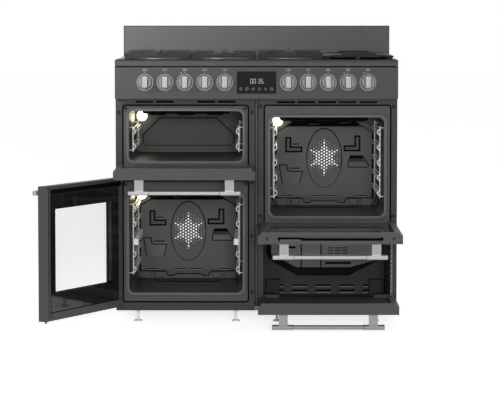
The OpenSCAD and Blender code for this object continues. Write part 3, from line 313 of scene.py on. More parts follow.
# Satin-anodised aluminium: bright and soft, its brush lines coarser than they are, to show
SATIN_ALUMINIUM = Finish(
    "satin_aluminium", "acacac", 0.36, metallic=0.8, grain_mm=0.8, stretch=(0.03, 1, 1),
    relief_mm=0.003, tint=0.04,
)
# The same near the floor, painted darker as a stand-in for the shade of the flap, where less of the
# room is mirrored
LOW_ALUMINIUM = replace(SATIN_ALUMINIUM, name="low_aluminium", colour="8e8e8e")
# The same on the brackets' faces, brushed upright and duller than the bars
BRACKET_ALUMINIUM = replace(
    SATIN_ALUMINIUM, name="bracket_aluminium", colour="929292", roughness=0.4,
    stretch=(1, 1, 0.03),
)
# Knob faces turned on a lathe and anodised: bright, even and soft
TURNED_ALUMINIUM = Finish(
    "turned_aluminium", "949494", 0.34, metallic=0.8, grain_mm=0.6, relief_mm=0.003, tint=0.04
)
# Knob rings, turned and left duller than the knobs
RING_ALUMINIUM = replace(
    TURNED_ALUMINIUM, name="ring_aluminium", colour="828282", roughness=0.36
)
# Knob discs, turned and left duller than the grips
DISC_ALUMINIUM = replace(
    TURNED_ALUMINIUM, name="disc_aluminium", colour="767676", roughness=0.4, tint=0.05
)
# Enamelled cast iron: black, matt, with the grain of the sand mould, paler on its ridges
CAST_IRON = Finish(
    "cast_iron", "191919", 0.6, grain_mm=0.9, relief_mm=0.06, tint=0.15, ior=1.4, wear=0.3
)
# The griddle's seasoned iron: darker than the pan supports
GRIDDLE_IRON = Finish(
    "griddle_iron", "0e0e0e", 0.55, grain_mm=0.9, relief_mm=0.05, tint=0.15, ior=1.4
)
# Black ceramic print behind toughened glass: sharp, dark reflections
BLACK_GLASS = Finish("black_glass", "181818", 0.06, spread=0.02, relief_mm=0.0, tint=0.02)
# The display's glass, bloomed so that it mirrors little
DISPLAY_GLASS = Finish(
    "display_glass", "0e0e0e", 0.25, spread=0.02, relief_mm=0.0, tint=0.02, ior=1.2
)
# Clear float glass: the white behind it shows through
WINDOW_GLASS = ClearGlass(
    "window_glass", "ffffff", 0.02, ior=1.33, spread=0.0, relief_mm=0.0, tint=0.0
)
# Blackened steel of the screws and the hinge brackets: dark, with a faint metallic sheen
SCREW_STEEL = Finish(
    "screw_steel", "2b2b2b", 0.4, metallic=0.3, grain_mm=1.0, relief_mm=0.005, tint=0.05
)
# Grey silicone-coated glass braid: matt, with the bumps of the braid
SEAL_BRAID = Finish("seal_braid", "4c4c4c", 0.6, grain_mm=1.5, relief_mm=0.1, tint=0.1)
# Hot-dip galvanised sheet, with its spangle
GALVANISED = Finish(
    "galvanised", "6f7173", 0.45, metallic=0.5, grain_mm=9.0, relief_mm=0.01, tint=0.14
)
# The storage box of painted galvanised sheet: dark, with the spangle faint under the paint
STORAGE_SHEET = Finish(
    "storage_sheet", "343434", 0.5, metallic=0.2, grain_mm=6.0, relief_mm=0.01, tint=0.08
)
# Die-cast burner alloy, bead-blasted: grey and matt
BURNER_ALLOY = Finish("burner_alloy", "77787a", 0.5, metallic=0.6, grain_mm=0.8, relief_mm=0.04)
# Drawn brass of the gas way
BRASS = Finish("brass", "b59a5c", 0.35, metallic=1.0, grain_mm=2.0, relief_mm=0.01)
# Turned steel of the feet, zinc-plated: pale, a little cloudy
ZINC_STEEL = Finish("zinc_steel", "d9dadb", 0.5, metallic=0.2, grain_mm=2.5, tint=0.05)
# Moulded nylon of the terminal box: black, with the fine grain of the mould
BLACK_PLASTIC = Finish("black_nylon", "1d1e1f", 0.5, grain_mm=0.7, relief_mm=0.03)
# Moulded nylon of the switches, in its natural cream
PALE_PLASTIC = Finish("switch_nylon", "d4d0c2", 0.5, grain_mm=0.7, relief_mm=0.02)
# Sheathed element, blued by heat: near black
ELEMENT_STEEL = Finish("element_steel", "0c0c0d", 0.6, grain_mm=4.0, tint=0.2, ior=1.15)
# Frosted glass of a lamp that is on
LAMP_GLASS = Glow("lamp_glass", "fffaf0", 0.2, relief_mm=0.0, light="fffbee", strength=1.6)
# Bright chromed wire with a painted glow, a stand-in for the oven lamp's light from the side
GLOWING_CHROME_WIRE = Glow(
    "chrome_wire_painted_glow", "a8a8a8", 0.25, metallic=0.5, grain_mm=2.0, relief_mm=0.002, tint=0.03,
    light="d6d4cc", strength=0.12,
)
# Rolled steel of the fans: bright behind the holes of their covers
BRIGHT_STEEL = Finish(
    "bright_steel", "a9abad", 0.3, metallic=0.8, grain_mm=1.0, relief_mm=0.005, tint=0.05
)
# Milky light through a dark display
LIT_DIGITS = Glow("lit_digits", "8c9092", 0.3, relief_mm=0.0, light="c4c8ca", strength=0.7)
# Grey print on the display's glass, given a faint painted glow
GLOWING_PRINT = Glow("dim_print_painted_glow", "6c6e70", 0.4, relief_mm=0.0, light="8a8c8e", strength=0.3)
# Worn grey screen print on the panel
WHITE_PRINT = Finish("white_print", "9b9d9f", 0.5, grain_mm=0.5, relief_mm=0.005, tint=0.03)
# Amber lens of a neon lamp, lit
AMBER_LENS = Glow("amber_lens", "a87417", 0.25, relief_mm=0.0, light="c9881c", strength=0.35)
# Painted shadow in the gap between a frame and an oven's flange: the dark line round an opening
PAINTED_GAP_SHADOW = Finish(
    "painted_gap_shadow", "080808", 0.8, grain_mm=0.8, relief_mm=0.02, tint=0.1, ior=1.1
)
# Painted shade: matt black behind the air slots and in the slots, seams, mouths and holes where
# shade falls
PAINTED_VENT_SHADE = Finish(
    "painted_vent_shade", "050505", 0.8, grain_mm=2.0, relief_mm=0.01, tint=0.1, ior=1.1
)
# The same painted shade with a faint painted warm glow, where lamp light leaks up to a slot
VENT_PAINTED_GLOW = Glow(
    "vent_painted_glow", "0b0906", 0.8, relief_mm=0.0, light="4a3614", strength=0.07, ior=1.1
)
# Screw recesses and seams filled with shadow
SCREW_SHADE = Finish(
    "screw_shade", "080808", 0.7, grain_mm=0.5, relief_mm=0.01, tint=0.1, ior=1.1
)
# Painted half shadow: the dark ring on a knob's bezel, and what else lies in half shadow
RING_SHADE = replace(SCREW_SHADE, name="ring_shade", colour="2a2a2a", roughness=0.6, ior=1.3)
# Fan blades of bright steel behind the holes, with a painted glow for the oven lamp's light
LIT_STEEL = Glow(
    "lit_steel", "c9c9c9", 0.3, metallic=0.4, grain_mm=1.0, light="d8d8d8", strength=0.62
)
# Enamel in the shadow of a pressed edge
CREASE = Finish(
    "enamel_crease", "0a0a0a", 0.7, grain_mm=1.5, relief_mm=0.005, tint=0.1, ior=1.1
)
# Enamel on an edge that catches the lamp
LIT_ENAMEL = replace(CREASE, name="lit_enamel", colour="6a6a68", roughness=0.4, ior=1.36)
# Painted light: enamel of the floor where the lamp reaches it, also used for pale folds that catch
# the light
FLOOR_PAINTED_LIGHT = replace(LIT_ENAMEL, name="floor_painted_light", colour="4a4a49")
# Painted shade: a dark sheet behind the baffle, where the view past it falls into shadow
PAINTED_SHADE_SHEET = replace(PAINTED_VENT_SHADE, name="painted_shade_sheet", colour="161616", ior=1.2)
# Painted light: the baffle's sheet, painted brighter than the box in front of it as a stand-in for
# the light that falls on it
BAFFLE_PAINTED_LIGHT = replace(STORAGE_SHEET, name="baffle_painted_light", colour="969594")
# The same sheet lower down, in the shadow of the box
BAFFLE_SHADE = replace(BAFFLE_PAINTED_LIGHT, name="baffle_shade", colour="6a6968")

NODE_FINISH: dict[Finish, tuple[str, ...]] = {
    GRAPHITE_STEEL: ("control_panel", "side_panels", "centre_divider"),
    GRAPHITE_SPLASH: ("splashback",),
    GRAPHITE_FRAME: ("left_front_frame", "right_front_frame"),
    GRAPHITE_DOOR: ("upper_left_door", "lower_left_door", "right_door", "storage_flap"),
    HOB_STEEL: ("hob_top",),
    OVEN_ENAMEL: ("upper_left_oven", "lower_left_oven", "right_oven"),
    COVER_ENAMEL: ("fan_covers",),
    SATIN_ALUMINIUM: ("upper_left_handle", "lower_left_handle", "right_handle"),
    LOW_ALUMINIUM: ("storage_handle",),
    RING_ALUMINIUM: ("knob_bezels",),
    TURNED_ALUMINIUM: (
        *(f"gas_knob_{number}" for number in range(1, 7)),
        *(f"oven_knob_{number}" for number in range(1, 5)),
    ),
    CAST_IRON: (
        "left_pan_support", "centre_pan_support", "right_pan_support", "burner_caps",
    ),
    GRIDDLE_IRON: ("griddle_plate",),
    DISPLAY_GLASS: ("display_unit",),
    BLACK_GLASS: ("upper_left_glass", "right_glass"),
    WINDOW_GLASS: ("lower_left_glass",),
    GLOWING_CHROME_WIRE: ("side_racks", "left_rail", "right_rail"),
    SEAL_BRAID: ("door_seals",),
    GALVANISED: ("base_frame", "back_panel", "fan_motors"),
    STORAGE_SHEET: ("storage_liner",),
    BURNER_ALLOY: ("burner_bodies",),
    BRASS: ("gas_rail", "gas_taps"),
    ZINC_STEEL: ("levelling_feet",),
    BLACK_PLASTIC: ("terminal_box",),
    PALE_PLASTIC: ("oven_switches",),
    ELEMENT_STEEL: ("grill_elements", "ring_elements"),
    LAMP_GLASS: ("oven_lamps",),
    BRIGHT_STEEL: ("left_fan", "right_fan"),
    SCREW_STEEL: ("frame_screws", "hinge_brackets"),
}


def dress(piece: bpy.types.Object, finish: Finish) -> None:
    """Gives one object a finish."""
    piece.data.materials.clear()
    piece.data.materials.append(finish.material())


def dress_nodes(nodes: dict[str, bpy.types.Object]) -> None:
    """Gives each node listed in NODE_FINISH its finish and logs the nodes left without one.

    Args:
        nodes: The frame's node objects by name.
    """
    left = set(nodes)
    for finish, names in NODE_FINISH.items():
        for name in names:
            dress(nodes[name], finish)
            left.discard(name)
    LOG.info("dressed the nodes; without a finish: %s", sorted(left))


# ---- Mesh building ----


# A place seen from the front, in X and Z
Point = tuple[float, float]
# A path or the corners of a face, in X and Z
Outline = Sequence[Point]
# A rectangle seen from the front: least X and Z, greatest X and Z
Rect = tuple[float, float, float, float]


def circle(centre: Point, radius: float, steps: int) -> list[Point]:
    """Gives the corners of a circle.

    Args:
        centre: Its centre.
        radius: Its radius.
        steps: The number of its sides.

    Returns:
        The corners, counter-clockwise from the right.
    """
    angles = [math.tau * at / steps for at in range(steps)]
    return moved([(radius * math.cos(turn), radius * math.sin(turn)) for turn in angles], centre)


def rounded_outline(rect: Rect, radius: float, steps: int = 6) -> list[Point]:
    """Gives the corners of a rounded rectangle.

    Args:
        rect: The rectangle.
        radius: The radius of its corners.
        steps: The number of sides in each corner.

    Returns:
        The corners, counter-clockwise.
    """
    x0, z0, x1, z1 = grown(rect, -radius)
    middles = ((x1, z1, 0), (x0, z1, 90), (x0, z0, 180), (x1, z0, 270))
    return [
        (
            x + radius * math.cos(math.radians(start + 90 * at / steps)),
            z + radius * math.sin(math.radians(start + 90 * at / steps)),
        )
        for x, z, start in middles
        for at in range(steps + 1)
    ]


def grown(rect: Rect, by: float) -> Rect:
    """Gives a rectangle with each side moved out."""
    return rect[0] - by, rect[1] - by, rect[2] + by, rect[3] + by


def around(centre: Point, half: Point) -> Rect:
    """Gives the rectangle round a centre with a half width and a half height."""
    return centre[0] - half[0], centre[1] - half[1], centre[0] + half[0], centre[1] + half[1]


def corners(rect: Rect) -> list[Point]:
    """Gives a rectangle's corners, counter-clockwise from the lower left."""
    x0, z0, x1, z1 = rect
    return [(x0, z0), (x1, z0), (x1, z1), (x0, z1)]


def closed(points: Outline) -> list[Point]:
    """Gives a path that ends where it starts."""
    return [*points, points[0]]


def moved(points: Outline, by: Point) -> list[Point]:
    """Gives a path moved in X and Z."""
    return [(x + by[0], z + by[1]) for x, z in points]


def mirrored(points: Outline, side: int) -> list[Point]:
    """Gives a path as it is for a side of 1, and mirrored in X for a side of -1."""
    return [(side * x, z) for x, z in points]


def node_box(name: str) -> list[list[float]]:
    """Gives a node's lowest and highest corners at rest in millimetres."""
    return [[axis / MM for axis in corner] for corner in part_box(name)]


class Body(Enum):
    """The bodies of the frame that detail pieces ride on."""

    CABINET = "cabinet"
    UPPER_LEFT_DOOR = "upper_left_door_body"
    LOWER_LEFT_DOOR = "lower_left_door_body"
    RIGHT_DOOR = "right_door_body"
    STORAGE_FLAP = "storage_flap_body"
    # The knobs from left to right
    GAS_KNOB_1 = "gas_knob_1_body"
    GAS_KNOB_2 = "gas_knob_2_body"
    OVEN_KNOB_1 = "oven_knob_1_body"
    GAS_KNOB_3 = "gas_knob_3_body"
    GAS_KNOB_4 = "gas_knob_4_body"
    GAS_KNOB_5 = "gas_knob_5_body"
    GAS_KNOB_6 = "gas_knob_6_body"
    OVEN_KNOB_2 = "oven_knob_2_body"
    OVEN_KNOB_3 = "oven_knob_3_body"
    OVEN_KNOB_4 = "oven_knob_4_body"


# The knobs' bodies from left to right
KNOB_BODIES = tuple(body for body in Body if "_knob_" in body.value)


@dataclass
class Shape:
    """A mesh in the making. Its methods take millimetres.

    Attributes:
        name: The piece's name.
        mesh: The mesh in the making.
    """

    name: str
    mesh: bmesh.types.BMesh = field(default_factory=bmesh.new)

    def row(self, corners: Iterable[Sequence[float]]) -> list[bmesh.types.BMVert]:
        """Adds a closed row of corners that no face joins yet."""
        return [self.mesh.verts.new(Vector(corner) * MM) for corner in corners]

    def wall(self, one: list[bmesh.types.BMVert], two: list[bmesh.types.BMVert]) -> None:
        """Spans a closed wall between two rows with the same number of corners."""
        for at in range(len(one)):
            self.mesh.faces.new((one[at - 1], two[at - 1], two[at], one[at]))

    def prism(
        self, lower: Iterable[Sequence[float]], upper: Iterable[Sequence[float]]
    ) -> None:
        """Joins two outlines with the same number of corners into a closed solid.

        Args:
            lower: The corners of one end.
            upper: The corners of the other end, in the same order.
        """
        first, last = self.row(lower), self.row(upper)
        self.mesh.faces.new(first)
        self.mesh.faces.new(last[::-1])
        self.wall(first, last)

    def plate(self, outline: Outline, y0: float, y1: float) -> None:
        """Adds an upright plate with an X and Z outline between two depths."""
        self.prism([(x, y0, z) for x, z in outline], [(x, y1, z) for x, z in outline])

    def band(self, inner: Outline, outer: Outline, y0: float, y1: float) -> None:
        """Adds a closed upright band between two outlines with the same number of corners.

        Args:
            inner: Its inner outline in X and Z.
            outer: Its outer outline in X and Z.
            y0: Its front.
            y1: Its back.
        """
        rows = [
            self.row([(x, y, z) for x, z in outline])
            for outline, y in ((inner, y0), (outer, y0), (outer, y1), (inner, y1))
        ]
        for side, row in enumerate(rows):
            self.wall(rows[side - 1], row)

    def ring(
        self, centre: Point, radii: tuple[float, float], y0: float, y1: float, steps: int = 40
    ) -> None:
        """Adds an upright flat ring.

        Args:
            centre: Its centre in X and Z.
            radii: Its inner and outer radius.
            y0: Its front.
            y1: Its back.
            steps: The number of its sides.
        """
        self.band(circle(centre, radii[0], steps), circle(centre, radii[1], steps), y0, y1)

    def stroke(self, points: Outline, width: float, y0: float, y1: float) -> None:
        """Adds a flat stroke with pointed ends along each leg of a path.

        Args:
            points: The path in X and Z.
            width: The stroke's width.
            y0: The stroke's front.
            y1: The stroke's back.
        """
        for start, end in zip(points, points[1:]):
            a, b = Vector(start), Vector(end)
            along = (b - a).normalized() * width / 2
            side = Vector((-along.y, along.x))
            corners = (a - along, a + side, b + side, b + along, b - side, a - side)
            self.plate([(corner.x, corner.y) for corner in corners], y0, y1)

    def box(self, low: Sequence[float], high: Sequence[float], bevel: float = 0.0) -> None:
        """Adds a box with its upright edges cut off.

        Args:
            low: Its least X, Y and Z.
            high: Its greatest X, Y and Z.
            bevel: The width of the cut.
        """
        (x0, y0, z0), (x1, y1, z1) = low, high
        plan = [(x0, y0), (x1, y0), (x1, y1), (x0, y1)]
        if bevel > 0.0:
            plan = [
                (x0 + bevel, y0), (x1 - bevel, y0), (x1, y0 + bevel), (x1, y1 - bevel),
                (x1 - bevel, y1), (x0 + bevel, y1), (x0, y1 - bevel), (x0, y0 + bevel),
            ]
        self.prism([(x, y, z0) for x, y in plan], [(x, y, z1) for x, y in plan])

    def turn(self, about: Point, degrees: float) -> None:
        """Swings all that is built so far about an upright axis.

        Args:
            about: The axis in X and Y.
            degrees: The angle, counter-clockwise from above.
        """
        axis = Vector((*about, 0)) * MM
        matrix = (
            Matrix.Translation(axis)
            @ Matrix.Rotation(math.radians(degrees), 4, "Z")
            @ Matrix.Translation(-axis)
        )
        bmesh.ops.transform(self.mesh, matrix=matrix, verts=self.mesh.verts)

    def finish(self, finish: Finish, body: Body = Body.CABINET) -> None:
        """Turns the mesh into an object that rides on a body.

        Args:
            finish: The object's finish.
            body: The body that it rides on.
        """
        bmesh.ops.recalc_face_normals(self.mesh, faces=self.mesh.faces)
        data = bpy.data.meshes.new(self.name)
        self.mesh.to_mesh(data)
        self.mesh.free()
        data.materials.append(finish.material())
        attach(add_object(self.name, data), body.value)
        LOG.info("%s: %d faces on %s", self.name, len(data.polygons), body.value)


# ---- Controls ----


@dataclass
class Clock:
    """The clock's digits and the icons of its touch keys.

    Attributes:
        glass_y: The front of the display's glass.
        digit_w: A digit's width.
        digit_h: A digit's height.
        digit_z: The middle of the digits.
        digit_x: The middle of each digit.
        text: The digits that show.
        line: The width of a lit segment.
        gap: The gap at each end of a segment.
        digit_t: The digits' thickness.
        icon_x: The middle of each icon.
        icon_z: The middle of the icons.
        icon_line: The width of an icon's line.
        icon_t: The icons' thickness.
        segments: The lit segments of each figure that shows.
    """

    glass_y: float = -345.0
    digit_w: float = 7.0
    digit_h: float = 15.0
    digit_z: float = 865.5
    digit_x: tuple[float, ...] = (-17.2, -6.3, 9.2, 19.6)
    text: str = "0035"
    line: float = 0.9
    gap: float = 0.495
    digit_t: float = 0.15
    icon_x: tuple[float, ...] = (-55.6, -33.4, -11.4, 10.6, 32.2, 54.0)
    icon_z: float = 838.0
    icon_line: float = 1.1
    icon_t: float = 0.1
    segments: dict[str, str] = field(
        default_factory=lambda: {"0": "abcdef", "3": "abcdg", "5": "acdfg"}
    )

    def digit(self, shape: Shape, x: float, figure: str) -> None:
        """Adds one seven-segment digit.

        Args:
            shape: The mesh that gets it.
            x: Its middle.
            figure: The figure that it shows.
        """
        w, h = self.digit_w / 2, self.digit_h / 2
        ends = {
            "a": ((-w, h), (w, h)),
            "b": ((w, h), (w, 0)),
            "c": ((w, 0), (w, -h)),
            "d": ((-w, -h), (w, -h)),
            "e": ((-w, -h), (-w, 0)),
            "f": ((-w, 0), (-w, h)),
            "g": ((-w, 0), (w, 0)),
        }
        for name in self.segments[figure]:
            start, end = (Vector(point) + Vector((x, self.digit_z)) for point in ends[name])
            trim = (end - start).normalized() * self.gap
            shape.stroke(
                [tuple(start + trim), tuple(end - trim)],
                self.line, self.glass_y - self.digit_t, self.glass_y,
            )

    def icons(self) -> list[list[Point]]:
        """Gives the icons' strokes round their own middles.

        Returns:
            A bell, a pot, a tray, a clock, a fan and a lock.
        """
        face = closed(circle((0, 0), 4, 12))
        return [
            [(-4, -3), (4, -3), (3, -1), (2.6, 3), (0, 5), (-2.6, 3), (-3, -1), (-4, -3)],
            [(-4, 3), (0, 5), (4, 3), (4, -3), (0, -5), (-4, -3), (-4, 3)],
            [(-5, 0), (0, 4.5), (5, 0), (0, -4.5), (-5, 0)],
            face,
            [(x * 0.8, z * 0.8) for x, z in face],
            closed([(-3.6, -4), (3.6, -4), (3.6, 1), (2, 1), (2, 4.5), (-2, 4.5), (-2, 1),
                    (-3.6, 1)]),
        ]

    def build(self) -> None:
        """Builds the digits and the icons on the display."""
        digits = Shape("clock_digits")
        for x, figure in zip(self.digit_x, self.text):
            self.digit(digits, x, figure)
        digits.finish(LIT_DIGITS)
        keys = Shape("display_icons")
        for x, path in zip(self.icon_x, self.icons()):
            keys.stroke(moved(path, (x, self.icon_z)), self.icon_line,
                        self.glass_y - self.icon_t, self.glass_y)
        keys.finish(GLOWING_PRINT)


@dataclass
class PanelMarks:
    """The print round the knobs, the marker dots and the amber lenses.

    Attributes:
        panel_y: The panel's front.
        knob_z: The height of the knobs' axes.
        inner: The first knob's distance from the middle.
        pitch: The distance between knobs.
        rise: The height of the pictograms above the knobs' axes.
        dot_rise: The height of the off marks above the knobs' axes.
        dot: The inner and outer radius of a filled dot.
        print_t: The print's thickness.
        line: The width of a printed line.
        oven_knobs: The places of the oven knobs, counted from the left.
        oven_mark: The oven's outline in its pictogram.
        oven_grill: The ends of the grill's line in the same.
        oven_fan: The fan's drop below the middle and its inner and outer radius.
        filled: The burner that each gas knob's pictogram fills, counted upward from the left.
        burner_pitch: The distance between burners along X and half that along Z.
        burner_radii: The inner radius of a filled and an open burner, and their outer radius.
        tick: The worn tick by the first knob on the right, from that knob's axis.
        tick_line: The width of the tick.
        tick_y: The front and the back of the tick, from the panel's front.
        lens_knobs: The places of the knobs with a lens.
        lens_off: The middle of a lens from its knob's axis.
        lens_half: Half a lens's width and height.
        lens_y: The fronts of a lens and its cup and the back of the cup, from the panel's front.
        cup: The inner and outer radius of a lens's cup.
    """

    panel_y: float = -343.0
    knob_z: float = 861.3
    inner: float = 112.3
    pitch: float = 70.2
    rise: float = 44.0
    dot_rise: float = 35.5
    dot: tuple[float, float] = (0.05, 1.3)
    print_t: float = 0.12
    line: float = 0.9
    oven_knobs: tuple[int, ...] = (2, 7, 8, 9)
    oven_mark: Rect = (-6.0, -3.0, 6.0, 3.6)
    oven_grill: tuple[Point, Point] = ((-3.5, 1.3), (3.5, 1.3))
    oven_fan: tuple[float, float, float] = (0.9, 0.4, 1.3)
    filled: dict[int, int] = field(
        default_factory=lambda: {0: 0, 1: 1, 3: 2, 4: 3, 5: 4, 6: 5}
    )
    burner_pitch: Point = (5.6, 2.2)
    burner_radii: tuple[float, float, float] = (0.1, 0.9, 1.6)
    tick: tuple[Point, Point] = ((-10.5, -27.5), (-6.5, -23.5))
    tick_line: float = 1.5
    tick_y: tuple[float, float] = (-2.2, -2.0)
    lens_knobs: tuple[int, ...] = (2, 8, 9)
    lens_off: Point = (-13.0, 33.5)
    lens_half: Point = (2.6, 1.2)
    lens_y: tuple[float, float, float] = (-1.6, -1.2, -1.0)
    cup: tuple[float, float] = (0.05, 2.7)

    def axis(self, place: int, off: Point = (0.0, 0.0)) -> Point:
        """Gives a knob's axis, or a place near it.

        Args:
            place: The knob's place, counted from the left.
            off: How far the place lies from the axis.

        Returns:
            The axis or the place.
        """
        half = len(KNOB_BODIES) // 2
        if place < half:
            x = -(self.inner + self.pitch * (half - 1 - place))
        else:
            x = self.inner + self.pitch * (place - half)
        return x + off[0], self.knob_z + off[1]

    def pictogram(self, shape: Shape, place: int) -> None:
        """Adds the mark above one knob: a hob plan with one burner filled, or an oven.

        Args:
            shape: The mesh that gets it.
            place: The knob's place.
        """
        middle = self.axis(place, (0.0, self.rise))
        depth = (self.panel_y - self.print_t, self.panel_y)
        if place in self.oven_knobs:
            shape.stroke(moved(closed(corners(self.oven_mark)), middle), self.line, *depth)
            shape.stroke(moved(self.oven_grill, middle), self.line, *depth)
            drop, inner, outer = self.oven_fan
            shape.ring((middle[0], middle[1] - drop), (inner, outer), *depth, steps=12)
            return
        solid, hollow, outer = self.burner_radii
        for at in range(len(self.filled)):
            burner = (
                middle[0] + (at // 2 - 1) * self.burner_pitch[0],
                middle[1] + (self.burner_pitch[1] if at % 2 else -self.burner_pitch[1]),
            )
            inner = solid if at == self.filled[place] else hollow
            shape.ring(burner, (inner, outer), *depth, steps=14)

    def build(self) -> None:
        """Builds the print, the dots and the lenses."""
        marks, dots = Shape("knob_pictograms"), Shape("off_marks")
        for place in range(len(KNOB_BODIES)):
            self.pictogram(marks, place)
            dots.ring(self.axis(place, (0.0, self.dot_rise)), self.dot,
                      self.panel_y - self.print_t, self.panel_y, steps=14)
        first_right = len(KNOB_BODIES) // 2
        dots.stroke(moved(self.tick, self.axis(first_right)), self.tick_line,
                    *(self.panel_y + depth for depth in self.tick_y))
        marks.finish(WHITE_PRINT)
        dots.finish(WHITE_PRINT)
        lenses, cups = Shape("amber_lenses"), Shape("lens_cups")
        lens_front, cup_front, cup_back = (self.panel_y + depth for depth in self.lens_y)
        for place in self.lens_knobs:
            middle = self.axis(place, self.lens_off)
            cups.ring(middle, self.cup, cup_front, cup_back, steps=20)
            lenses.plate(corners(around(middle, self.lens_half)), lens_front, cup_front)
        lenses.finish(AMBER_LENS)
        cups.finish(GRAPHITE_STEEL)


@dataclass
class KnobRings:
    """The dark shadow ring round each knob's disc, on its bezel.

    Attributes:
        marks: The layout of the knobs.
        radii: The ring's inner and outer radius.
        bezel: How far the bezel stands out from the panel.
        paint_t: The ring's thickness.
    """

    marks: PanelMarks
    radii: tuple[float, float] = (22.0, 26.0)
    bezel: float = 2.0
    paint_t: float = 0.06

    def build(self) -> None:
        """Builds the rings."""
        shape = Shape("knob_shadow_rings")
        front = self.marks.panel_y - self.bezel
        for place in range(len(KNOB_BODIES)):
            shape.ring(self.marks.axis(place), self.radii, front - self.paint_t, front)
        shape.finish(RING_SHADE)


@dataclass
class KnobFaces:
    """The dull disc on both sides of each knob's grip, and the shadow beside the grip.

    Attributes:
        marks: The layout of the knobs.
        face_y: The front of the discs.
        radius: The radius of a disc's flat.
        grip: Half the width of the grip.
        clear: The shadow's clearance from the grip.
        shade: The width of the shadow beside the grip.
        disc_t: The thickness of the disc's face.
        shade_t: The thickness of the shadow.
        steps: The number of sides in a quarter of a face's arc.
    """

    marks: PanelMarks
    face_y: float = -354.4
    radius: float = 20.8
    grip: float = 9.0
    clear: float = 0.1
    shade: float = 2.8
    disc_t: float = 0.12
    shade_t: float = 0.08
    steps: int = 8

    def half_disc(self, axis: Point, side: int) -> list[Point]:
        """Gives the outline of a disc's flat on one side of the grip.

        Args:
            axis: The knob's axis.
            side: -1 for the left, 1 for the right.

        Returns:
            The corners.
        """
        reach = math.acos((self.grip + self.shade) / self.radius)
        angles = [reach * (at / self.steps - 1) for at in range(2 * self.steps + 1)]
        arc = [(self.radius * math.cos(turn), self.radius * math.sin(turn)) for turn in angles]
        return moved(mirrored(arc, side), axis)

    def build(self) -> None:
        """Builds the faces, each on the body of its knob."""
        far = self.grip + self.shade
        half = math.sqrt(self.radius**2 - far**2)
        shade = corners((self.grip + self.clear, -half, far, half))
        for place, body in enumerate(KNOB_BODIES):
            disc, shadow = Shape(f"{body.value}_disc"), Shape(f"{body.value}_grip_shadow")
            axis = self.marks.axis(place)
            for side in (-1, 1):
                disc.plate(self.half_disc(axis, side), self.face_y - self.disc_t, self.face_y)
                shadow.plate(moved(mirrored(shade, side), axis),
                             self.face_y - self.shade_t, self.face_y)
            disc.finish(DISC_ALUMINIUM, body)
            shadow.finish(RING_SHADE, body)


# ---- Cabinet ----


